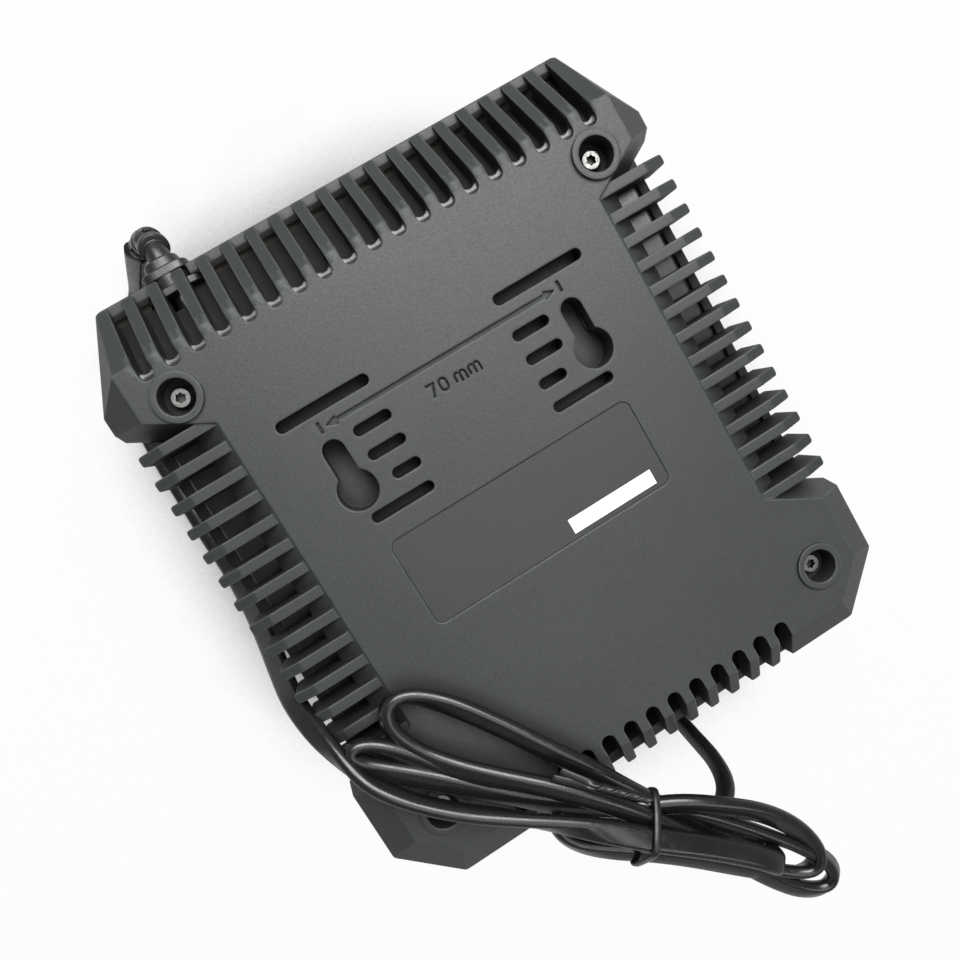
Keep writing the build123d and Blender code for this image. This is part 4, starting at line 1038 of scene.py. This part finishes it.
@dataclass
class TwistTie:
    """Plastic-coated wire round the hank's waist, its two ends twisted together.

    Attributes:
        middle: middle of the band, millimetres.
        heading: way that the strands run through it, radians from +X.
        slant: how far the band leans along the strands, for each millimetre across them.
        width: the strip's width, metres.
        thickness: its thickness.
        twist: middle line of the twisted ends, millimetres.
        free_ends: where each end goes after the twist.
        turns: how often the ends go round each other.
        reach: how far from its middle the band takes the cord in: along it, across it and up.
        corners: points round the band.
        pair_radius: distance of each twisted end from their common middle line.
    """

    middle: Point = (-16.3, -97.6, 80.0)
    heading: float = math.radians(-60.9)
    slant: float = -0.39
    width: float = 2.0 * MM
    thickness: float = 0.9 * MM
    twist: tuple[Point, ...] = ((-13.4, -86.9, 87.4), (-17.8, -81.7, 87.0), (-23.1, -76.3, 86.4))
    free_ends: tuple[tuple[Point, ...], ...] = (
        ((-25.7, -72.8, 85.6), (-28.6, -68.6, 84.6)),
        ((-26.8, -73.4, 85.2), (-31.3, -69.2, 84.2)),
    )
    turns: float = 2.1
    reach: Point = (2.6 * MM, 16 * MM, 12 * MM)
    corners: int = 72
    pair_radius: float = 0.5

    def strip(self, name: str, line: list[Vector], wide: list[Vector], closed: bool) -> Piece:
        """Sweep the strip's flat rounded section along a line.

        Args:
            name: the piece's name.
            line: the strip's middle line.
            wide: the way that its width points, at each point of the line.
            closed: whether its ends meet.

        Returns:
            The strip.
        """
        sides, points = 12, []
        for index, point in enumerate(line):
            after = line[(index + 1) % len(line)] if closed else line[min(index + 1, len(line) - 1)]
            before = line[index - 1] if closed or index else line[0]
            ahead = (after - before).normalized()
            across = (wide[index] - ahead * wide[index].dot(ahead)).normalized()
            through = ahead.cross(across)
            for side in range(sides):
                turn = 2 * math.pi * side / sides
                flat = squared(math.sin(turn), 0.6)
                points.append(
                    point
                    + across * (math.cos(turn) * self.width / 2)
                    + through * (flat * self.thickness / 2)
                )
        return add_mesh(name, points, ring_faces(len(line), sides, closed))

    def band(self, cord: MainsCord) -> Piece:
        """Make the band that hugs the strands.

        Args:
            cord: the cord, after it is built.

        Returns:
            The band.
        """
        along = Vector((math.cos(self.heading), math.sin(self.heading), 0))
        across = Vector((-along.y, along.x, 0))
        middle = millimetres(self.middle)
        flat: list[tuple[float, float]] = []
        for index, point in enumerate(cord.points):
            offset = point - middle
            sideways = offset.dot(across)
            spot = (offset.dot(along) - sideways * self.slant, sideways, offset.z)
            if any(abs(part) > limit for part, limit in zip(spot, self.reach)):
                continue
            for place in cord.section(index):
                away = place - middle
                flat.append((round(away.dot(across), 6), round(away.z, 6)))
        outline = [middle + across * v + Vector((0, 0, z)) for v, z in hull(flat)]
        outline = resample(outline, self.corners)
        for _ in range(3):
            outline = [
                (outline[i - 1] + outline[i] * 2 + outline[(i + 1) % len(outline)]) / 4
                for i in range(len(outline))
            ]
        centre = sum(outline, Vector()) / len(outline)
        line = []
        for point in outline:
            out = (point - centre).normalized()
            leaning = (point - middle).dot(across) * self.slant
            line.append(point + out * (self.thickness * 0.7) + along * leaning)
        return self.strip("tie_band", line, [along - across * self.slant] * len(line), True)

    def twisted_ends(self) -> list[Piece]:
        """Make the two ends, twisted round each other and then spread.

        Returns:
            The two ends.
        """
        middle = nurbs_points("tie_twist", [millimetres(point) for point in self.twist], 26)
        made = []
        for number, free in enumerate(self.free_ends):
            line, wide = [], []
            for index, point in enumerate(middle):
                ahead = (middle[min(index + 1, len(middle) - 1)] - middle[max(index - 1, 0)]).normalized()
                side = ahead.cross(Vector((0, 0, 1))).normalized()
                rise = side.cross(ahead)
                turn = 2 * math.pi * self.turns * index / len(middle) + number * math.pi
                out = turned_by(turn, side, rise)
                line.append(point + out * self.pair_radius * MM)
                wide.append(ahead.cross(out))
            tail = [line[-1]] + [millimetres(point) for point in free]
            tail_line = nurbs_points("tie_tail", tail, 8)[1:]
            line += tail_line
            flat_side = (tail_line[-1] - tail_line[0]).cross(Vector((0, 0, 1))).normalized()
            if flat_side.dot(wide[-1]) < 0:
                flat_side.negate()
            last = wide[-1]
            wide += [last.lerp(flat_side, min(1.0, (i + 1) / 5)) for i in range(len(tail_line))]
            made.append(self.strip(f"tie_end_{number + 1}", line, wide, False))
        return made

    def build(self, cord: MainsCord) -> Piece:
        """Make the whole tie round a cord that is built."""
        return join_pieces([self.band(cord), *self.twisted_ends()], "twist_tie_strip")


# ---- geometry trees --------------------------------------------------------------------------
class Recipe:
    """A geometry tree with named sizes, run once on a holder and kept as a plain mesh."""

    def __init__(self, name: str, entry: str, sizes: dict[str, float | int]) -> None:
        """Start the tree.

        Args:
            name: the tree's name.
            entry: the name of its geometry input.
            sizes: the sizes that it takes, whole numbers among them.
        """
        self.tree = bpy.data.node_groups.new(name, "GeometryNodeTree")
        self.tree.interface.new_socket(name=entry, in_out="INPUT", socket_type="NodeSocketGeometry")
        self.sizes = {
            self.tree.interface.new_socket(
                name=key, in_out="INPUT", socket_type=f"NodeSocket{'Int' if isinstance(size, int) else 'Float'}"
            ).identifier: size
            for key, size in sizes.items()
        }
        self.tree.interface.new_socket(name="Result", in_out="OUTPUT", socket_type="NodeSocketGeometry")
        self.graph = Graph(self.tree)
        self.source = self.graph.add("NodeGroupInput").outputs

    def joined(self, *parts: Socket) -> Socket:
        """Join geometry.

        Args:
            parts: the outputs to join.

        Returns:
            The joined geometry.
        """
        both = self.graph.add("GeometryNodeJoinGeometry")
        for part in parts:
            self.tree.links.new(part, both.inputs[0])
        return both.outputs[0]

    def bake(self, holder: Piece, placed: Socket, finish: Material, name: str) -> Piece:
        """End the tree, run it on a holder and keep what it makes.

        Args:
            holder: the object that feeds the tree; it is removed.
            placed: the instances to make real.
            finish: their material.
            name: the new piece's name.

        Returns:
            The piece.
        """
        real = self.graph.add("GeometryNodeRealizeInstances", {0: placed})
        dressed = self.graph.add("GeometryNodeSetMaterial", {"Geometry": real.outputs[0], "Material": finish})
        self.graph.add("NodeGroupOutput", {0: dressed.outputs[0]})
        modifier = holder.modifiers.new(name, "NODES")
        modifier.node_group = self.tree
        for identifier, size in self.sizes.items():
            modifier[identifier] = size
        bpy.context.view_layer.update()
        evaluated = holder.evaluated_get(bpy.context.evaluated_depsgraph_get())
        mesh = bpy.data.meshes.new_from_object(evaluated)
        mesh.name = name
        piece = new_object(name, mesh)
        holder.modifiers.clear()
        bpy.data.objects.remove(holder)
        return piece


# ---- strain relief ---------------------------------------------------------------------------
@dataclass
class StrainRelief:
    """Bent rubber sleeve: a flange on each side of the wall, a smooth core, and flat bands round it.

    Attributes:
        wall: where its axis leaves the outer wall, millimetres.
        line: its middle line from there.
        core_radius: radius of the core at both ends.
        band_radius: outer radius of the first band.
        bands: number of bands.
        taper: size of the last band, as a share of the first.
        band_size: each band's width and thickness, millimetres.
        first_band: where the first band sits, as a share of the line.
        bar_section: corners of the bars between the bands, as a share of the band's radius
            outwards, and millimetres along it.
        flange_profile: distance from the wall, half width, half height and squareness of each ring.
    """

    wall: Point = (-48.2, 87.6, 56.0)
    line: tuple[Point, ...] = (
        (-48.0, 87.6, 56.0),
        (-47.8, 91.8, 56.4),
        (-47.7, 96.6, 55.3),
        (-48.0, 99.2, 52.4),
        (-49.0, 101.2, 48.6),
        (-50.6, 102.5, 44.4),
        (-52.2, 103.2, 40.6),
    )
    core_radius: tuple[float, float] = (3.2, 2.2)
    band_radius: float = 4.0
    bands: int = 4
    taper: float = 0.8
    band_size: tuple[float, float] = (2.0, 2.2)
    first_band: float = 0.3
    bar_section: tuple[tuple[float, float], ...] = ((0.62, -0.9), (0.96, -0.8), (0.96, 0.8), (0.62, 0.9))
    flange_profile: tuple[tuple[float, ...], ...] = (
        (-4.7, 7.2, 5.2, 0.4), (-4.6, 7.5, 5.45, 0.4), (-2.9, 7.5, 5.45, 0.4), (-2.8, 7.2, 5.2, 0.4),
        (-2.8, 5.4, 5.4, 1.0), (0.0, 5.4, 5.4, 1.0),
        (0.0, 6.1, 5.3, 0.55), (0.2, 6.35, 5.5, 0.55), (2.0, 6.35, 5.5, 0.55), (2.3, 6.05, 5.25, 0.55),
        (2.3, 5.1, 4.9, 0.8), (4.6, 4.6, 4.5, 0.8), (5.0, 4.2, 4.1, 0.8),
    )

    def middle(self, steps: int) -> list[Vector]:
        """Give points along the sleeve's middle line, in metres."""
        return nurbs_points("relief_line", [millimetres(point) for point in self.line], steps)

    def frame_at(self, line: list[Vector], index: int) -> tuple[Vector, Vector]:
        """Give the two directions that span the section at one point of a line.

        Args:
            line: the points.
            index: which of them.

        Returns:
            The sideways and the upward direction.
        """
        ahead = (line[min(index + 1, len(line) - 1)] - line[max(index - 1, 0)]).normalized()
        side = (Vector((1, 0, 0)) - ahead * ahead.x).normalized()
        return side, ahead.cross(side)

    def sweep(self, name: str, radius: tuple[float, float], start: float, end: float) -> Piece:
        """Sweep a round core along part of the sleeve's line.

        Args:
            name: the piece's name.
            radius: its radius at both ends, millimetres.
            start: where it starts, as a share of the line.
            end: where it ends.

        Returns:
            The core.
        """
        line = self.middle(10)
        first, final = int(start * (len(line) - 1)), int(end * (len(line) - 1))
        sides, points = 28, []
        for index in range(first, final + 1):
            side, rise = self.frame_at(line, index)
            share = (index - first) / (final - first)
            size = (radius[0] * (1 - share) + radius[1] * share) * MM
            for number in range(sides):
                turn = 2 * math.pi * number / sides
                points.append(line[index] + side * (math.cos(turn) * size) + rise * (math.sin(turn) * size))
        return add_mesh(name, points, ring_faces(final - first + 1, sides))

    def bridges(self) -> list[Piece]:
        """Make the short bars that join one band to the next, on turned sides in turn.

        Returns:
            The bars.
        """
        line = self.middle(10)
        last = len(line) - 1
        made = []
        for gap in range(self.bands - 1):
            first, final = (
                int(last * (self.first_band + (1 - self.first_band) * number / (self.bands - 1)))
                for number in (gap, gap + 1)
            )
            size = self.band_radius * (1 - (1 - self.taper) * (gap + 0.5) / (self.bands - 1)) * MM
            for half in (0, 1):
                turn = math.pi * (half + 0.5 * (gap % 2) + 0.12)
                points = []
                for index in range(first, final + 1):
                    side, rise = self.frame_at(line, index)
                    out = turned_by(turn, side, rise)
                    along = side * -math.sin(turn) + rise * math.cos(turn)
                    for away, aside in self.bar_section:
                        points.append(line[index] + out * (size * away) + along * (aside * MM))
                faces = [tuple(reversed(face)) for face in ring_faces(final - first + 1, 4)]
                made.append(add_mesh(f"bridge_{gap}_{half}", points, faces, False))
        return made

    def flange(self) -> Piece:
        """Make the flange inside the wall, the neck through it, and the stepped flange outside.

        Returns:
            The flange.
        """
        sides = 48
        points = []
        for depth, across, rise, power in self.flange_profile:
            for number in range(sides):
                turn = -2 * math.pi * number / sides
                x, z = squared(math.cos(turn), power) * across, squared(math.sin(turn), power) * rise
                points.append(millimetres((self.wall[0] + x, self.wall[1] + depth, self.wall[2] + z)))
        return add_mesh("relief_flange", points, ring_faces(len(self.flange_profile), sides), False)

    def band_set(self, finish: Material) -> Piece:
        """Set even, tapering flat bands along the sleeve with a geometry tree.

        Args:
            finish: the bands' material.

        Returns:
            The bands, as one plain mesh.
        """
        recipe = Recipe("relief_bands", "Line", {
            "Count": self.bands,
            "Band Radius": (self.band_radius - self.band_size[1] / 2) * MM,
            "Band Width": self.band_size[0] * MM,
            "Band Thickness": self.band_size[1] * MM,
            "Taper": self.taper,
        })
        graph, source = recipe.graph, recipe.source
        spots = graph.add("GeometryNodeCurveToPoints", {"Curve": source["Line"], "Count": source["Count"]})
        hoop = graph.add("GeometryNodeCurvePrimitiveCircle", {"Resolution": 40, "Radius": source["Band Radius"]})
        strap = graph.add(
            "GeometryNodeCurvePrimitiveQuadrilateral",
            {"Width": source["Band Thickness"], "Height": source["Band Width"]},
        )
        soft = graph.add(
            "GeometryNodeFilletCurve", {"Curve": strap.outputs[0], "Radius": 0.25 * MM, "Count": 3}, mode="POLY"
        )
        ring = graph.add("GeometryNodeCurveToMesh", {"Curve": hoop.outputs[0], "Profile Curve": soft.outputs[0]})
        number = graph.add("GeometryNodeInputIndex").outputs[0]
        last = graph.math("SUBTRACT", source["Count"], 1.0)
        size = graph.ramp(graph.math("DIVIDE", number, last), 0.0, 1.0, 1.0, source["Taper"])
        placed = graph.add("GeometryNodeInstanceOnPoints", {
            "Points": spots.outputs["Points"], "Instance": ring.outputs[0],
            "Rotation": spots.outputs["Rotation"], "Scale": size,
        })
        holder = nurbs_curve("band_line", [millimetres(point) for point in self.line[2:]])
        return recipe.bake(holder, placed.outputs[0], finish, "relief_bands")

    def build(self, finish: Material) -> Piece:
        """Make the whole strain relief.

        Args:
            finish: its material.

        Returns:
            The sleeve.
        """
        core = self.sweep("relief_core", self.core_radius, 0.05, 1.0)
        pieces = [self.flange(), core, self.band_set(finish), *self.bridges()]
        return join_pieces(pieces, "strain_relief_sleeve")


# ---- screws ----------------------------------------------------------------------------------
@dataclass
class HousingScrews:
    """The four pan-head screws with a six-lobe drive, deep in their rings."""

    spots: tuple[tuple[float, float], ...] = ((-59.8, -65.6), (59.8, -65.6), (-59.8, 58.2), (59.8, 58.2))
    seat: float = 68.0
    head_radius: float = 2.75
    head_height: float = 2.5
    drive_radius: float = 1.75
    drive_depth: float = 2.1

    def build(self, finish: Material) -> Piece:
        """Set one head on each spot with a geometry tree.

        Args:
            finish: the screws' material.

        Returns:
            All four heads, as one plain mesh.
        """
        recipe = Recipe("lobed_screws", "Spots", {
            "Head Radius": self.head_radius * MM,
            "Head Height": self.head_height * MM,
            "Drive Radius": self.drive_radius * MM,
            "Drive Depth": self.drive_depth * MM,
        })
        graph, source = recipe.graph, recipe.source
        rim = graph.add("GeometryNodeCurvePrimitiveCircle", {"Resolution": 48, "Radius": source["Head Radius"]})
        inner = graph.math("MULTIPLY", source["Drive Radius"], 0.72)
        star = graph.add(
            "GeometryNodeCurveStar", {"Points": 6, "Inner Radius": inner, "Outer Radius": source["Drive Radius"]}
        )
        rounding = graph.math("MULTIPLY", source["Drive Radius"], 0.16)
        lobes = graph.add(
            "GeometryNodeFilletCurve", {"Curve": star.outputs[0], "Radius": rounding, "Count": 4}, mode="POLY"
        ).outputs[0]
        face = graph.add("GeometryNodeFillCurve", {"Curve": recipe.joined(rim.outputs[0], lobes)}, mode="NGONS")
        low = graph.math("MULTIPLY", source["Head Height"], 0.62)
        body = graph.add("GeometryNodeExtrudeMesh", {
            "Mesh": face.outputs[0], "Offset Scale": low, "Individual": False,
        })
        top = graph.math("MULTIPLY", source["Head Height"], 0.38)
        crown = graph.add("GeometryNodeExtrudeMesh", {
            "Mesh": body.outputs["Mesh"], "Selection": body.outputs["Top"], "Offset Scale": top,
            "Individual": False,
        })
        shrunk = graph.add("GeometryNodeScaleElements", {
            "Geometry": crown.outputs["Mesh"], "Selection": crown.outputs["Top"], "Scale": 0.84,
        })
        floor_face = graph.add("GeometryNodeFillCurve", {"Curve": lobes}, mode="NGONS")
        floor_height = graph.math("SUBTRACT", source["Head Height"], source["Drive Depth"])
        floor_place = graph.add("ShaderNodeCombineXYZ", {"Z": floor_height}).outputs[0]
        floor = graph.add("GeometryNodeTransform", {"Geometry": floor_face.outputs[0], "Translation": floor_place})
        screw = recipe.joined(shrunk.outputs[0], floor.outputs[0])
        turned = graph.add("FunctionNodeRandomValue", {"Max": 1.05, "Seed": 7})
        spin = graph.add("ShaderNodeCombineXYZ", {"Z": turned.outputs[1]})
        placed = graph.add(
            "GeometryNodeInstanceOnPoints",
            {"Points": source["Spots"], "Instance": screw, "Rotation": spin.outputs[0]},
        )
        holder = add_mesh("screw_spots", [millimetres((x, y, self.seat)) for x, y in self.spots], [])
        return recipe.bake(holder, placed.outputs[0], finish, "housing_screw_heads")


# ---- studio ----------------------------------------------------------------------------------
@dataclass
class Studio:
    """Camera, pale floor and soft lights."""

    eye: Point = (-24.5, 27.6, 268.5)
    lens: float = 29.04
    right: Point = (0.84941932, -0.50931787, 0.1381381)
    down: Point = (-0.52070793, -0.85143673, 0.06259994)
    ahead: Point = (0.08573259, -0.1251032, -0.98843265)
    lamps: tuple[tuple[str, Point, tuple[float, float], float], ...] = (
        ("key_lamp", (0.22, 0.45, 0.9), (1.0, 0.55), 18.5),
        ("fill_lamp", (0.14, -0.07, 1.0), (0.95, 0.6), 3.95),
        ("front_strip", (0.12, -0.82, 1.0), (0.8, 0.2), 1.9),
    )
    floor_half: float = 3.0
    floor_grey: Colour = (0.38, 0.38, 0.38)
    floor_white: float = 0.95
    floor_gloss: float = 0.12
    shade_reach: float = 80 * MM
    shade_ramp: tuple[float, ...] = (0.52, 0.74, 0.01, 1.0)
    sky_light: float = 0.165
    sky_gloss: float = 0.3
    backdrop_ramp: tuple[float, ...] = (0.15, 0.45, 1.0, 0.25)

    def camera(self) -> None:
        """Place the camera."""
        data = bpy.data.cameras.new("camera")
        data.lens = self.lens
        data.sensor_width = 36.0
        data.clip_start = 0.01
        camera = new_object("camera", data)
        turn = Matrix((self.right, tuple(-x for x in self.down), tuple(-x for x in self.ahead))).transposed()
        camera.matrix_world = Matrix.Translation(millimetres(self.eye)) @ turn.to_4x4()
        bpy.context.scene.camera = camera

    def lamp(self, name: str, place: Point, size: tuple[float, float], power: float) -> None:
        """Hang a soft oblong lamp that faces the charger.

        Args:
            name: its name.
            place: where it hangs, metres.
            size: its two sides, metres.
            power: its power, watts.
        """
        data = bpy.data.lights.new(name, "AREA")
        data.shape = "RECTANGLE"
        data.size, data.size_y = size
        data.energy = power
        lamp = new_object(name, data)
        lamp.location = place
        aim = Vector((0, 0, 0.05)) - Vector(place)
        lamp.rotation_euler = aim.to_track_quat("-Z", "Y").to_euler()

    @staticmethod
    def seen_directly(graph: Graph, glossy: float) -> Socket:
        """Mark rays that come from the camera, or by way of metal or glass.

        Args:
            graph: the graph that asks.
            glossy: how much of the background shows in glossy surfaces.

        Returns:
            The share of the white background.
        """
        path = graph.add("ShaderNodeLightPath")
        rays = graph.math("ADD", path.outputs["Is Camera Ray"], path.outputs["Is Transmission Ray"])
        rays = graph.math("MULTIPLY_ADD", path.outputs["Is Glossy Ray"], glossy, rays)
        return graph.math("MINIMUM", rays, 1.0)

    def room(self) -> None:
        """Make the floor and the world."""
        corners = [
            Vector((x * self.floor_half, y * self.floor_half, -0.2 * MM))
            for x, y in ((-1, -1), (1, -1), (1, 1), (-1, 1))
        ]
        floor = add_mesh("floor", corners, [(0, 1, 2, 3)], False)
        paper = bpy.data.materials.new("floor_paper")
        paper.use_nodes = True
        paper.node_tree.nodes.clear()
        graph = Graph(paper.node_tree)
        matt = graph.add("ShaderNodeBsdfDiffuse", {"Color": rgba(self.floor_grey)})
        open_sky = graph.add("ShaderNodeAmbientOcclusion", {"Distance": self.shade_reach}, samples=16)
        shade = graph.ramp(open_sky.outputs["AO"], *self.shade_ramp)
        white = graph.add("ShaderNodeEmission", {"Color": WHITE, "Strength": shade})
        share = graph.math("MULTIPLY", self.seen_directly(graph, self.floor_gloss), self.floor_white)
        mixed = graph.add("ShaderNodeMixShader", {0: share, 1: matt.outputs[0], 2: white.outputs[0]})
        graph.add("ShaderNodeOutputMaterial", {"Surface": mixed.outputs[0]})
        floor.data.materials.append(paper)

        world = bpy.data.worlds.new("studio_world")
        world.use_nodes = True
        world.node_tree.nodes.clear()
        graph = Graph(world.node_tree)
        soft = graph.add("ShaderNodeBackground", {"Color": WHITE, "Strength": self.sky_light})
        heading = graph.add("ShaderNodeTexCoord").outputs["Generated"]
        backdrop = graph.ramp(graph.axes(heading)[2], *self.backdrop_ramp)
        bright = graph.add("ShaderNodeBackground", {"Color": WHITE, "Strength": backdrop})
        share = self.seen_directly(graph, self.sky_gloss)
        mixed = graph.add("ShaderNodeMixShader", {0: share, 1: soft.outputs[0], 2: bright.outputs[0]})
        graph.add("ShaderNodeOutputWorld", {"Surface": mixed.outputs[0]})
        bpy.context.scene.world = world

    def build(self) -> None:
        """Set the whole studio."""
        self.room()
        for lamp in self.lamps:
            self.lamp(*lamp)
        bpy.context.scene.view_settings.view_transform = "Standard"


def join_pieces(pieces: list[Piece], name: str) -> Piece:
    """Join mesh pieces of one material into one new piece, and remove them.

    Args:
        pieces: the pieces.
        name: the joined piece's name.

    Returns:
        The joined piece.
    """
    points: list[Vector] = []
    faces: list[tuple[int, ...]] = []
    smooth: list[bool] = []
    for piece in pieces:
        start = len(points)
        points += [vertex.co.copy() for vertex in piece.data.vertices]
        faces += [tuple(start + corner for corner in face.vertices) for face in piece.data.polygons]
        smooth += [face.use_smooth for face in piece.data.polygons]
        bpy.data.objects.remove(piece)
    joined = add_mesh(name, points, faces)
    joined.data.polygons.foreach_set("use_smooth", smooth)
    return joined


def settle(piece: Piece, body: Body, finish: Finish, *replaced: str) -> None:
    """Let a finished piece ride on its body, in place of CAD nodes.

    Args:
        piece: the piece.
        body: what it moves with.
        finish: not used.
        replaced: the nodes that it stands for.
    """
    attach(piece, body.value)
    if replaced:
        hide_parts(*replaced)
    LOG.info("%s: %d faces", piece.name, len(piece.data.polygons))


def main() -> None:
    """Build the scene round the frame."""
    logging.basicConfig(level=logging.INFO, format="%(name)s %(message)s")
    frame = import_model()
    studio = Studio()
    studio.camera()
    wardrobe = Wardrobe()

    cord = MainsCord()
    sheath = cord.build()
    wardrobe.dress(sheath, SHEATH)
    settle(sheath, Body.HOUSING, SHEATH, "cord_supply", "cord_hank", "cord_tail")
    LOG.info("cord length %.3f m", cord.length())

    tie_piece = TwistTie().build(cord)
    wardrobe.dress(tie_piece, TIE_FILM)
    settle(tie_piece, Body.HOUSING, TIE_FILM, "twist_tie")

    sleeve = StrainRelief().build(wardrobe.get(RELIEF_RUBBER))
    wardrobe.dress(sleeve, RELIEF_RUBBER)
    settle(sleeve, Body.HOUSING, RELIEF_RUBBER, "cord_strain_relief")

    screws = HousingScrews().build(wardrobe.get(SCREW_STEEL))
    settle(screws, Body.HOUSING, SCREW_STEEL, "housing_screws")

    for finish, nodes in NODE_FINISHES.items():
        for name in nodes:
            wardrobe.dress(frame["nodes"][name], finish)
            LOG.info("%s: %s", name, finish.name)

    studio.build()


if __name__ == "__main__":
    main()
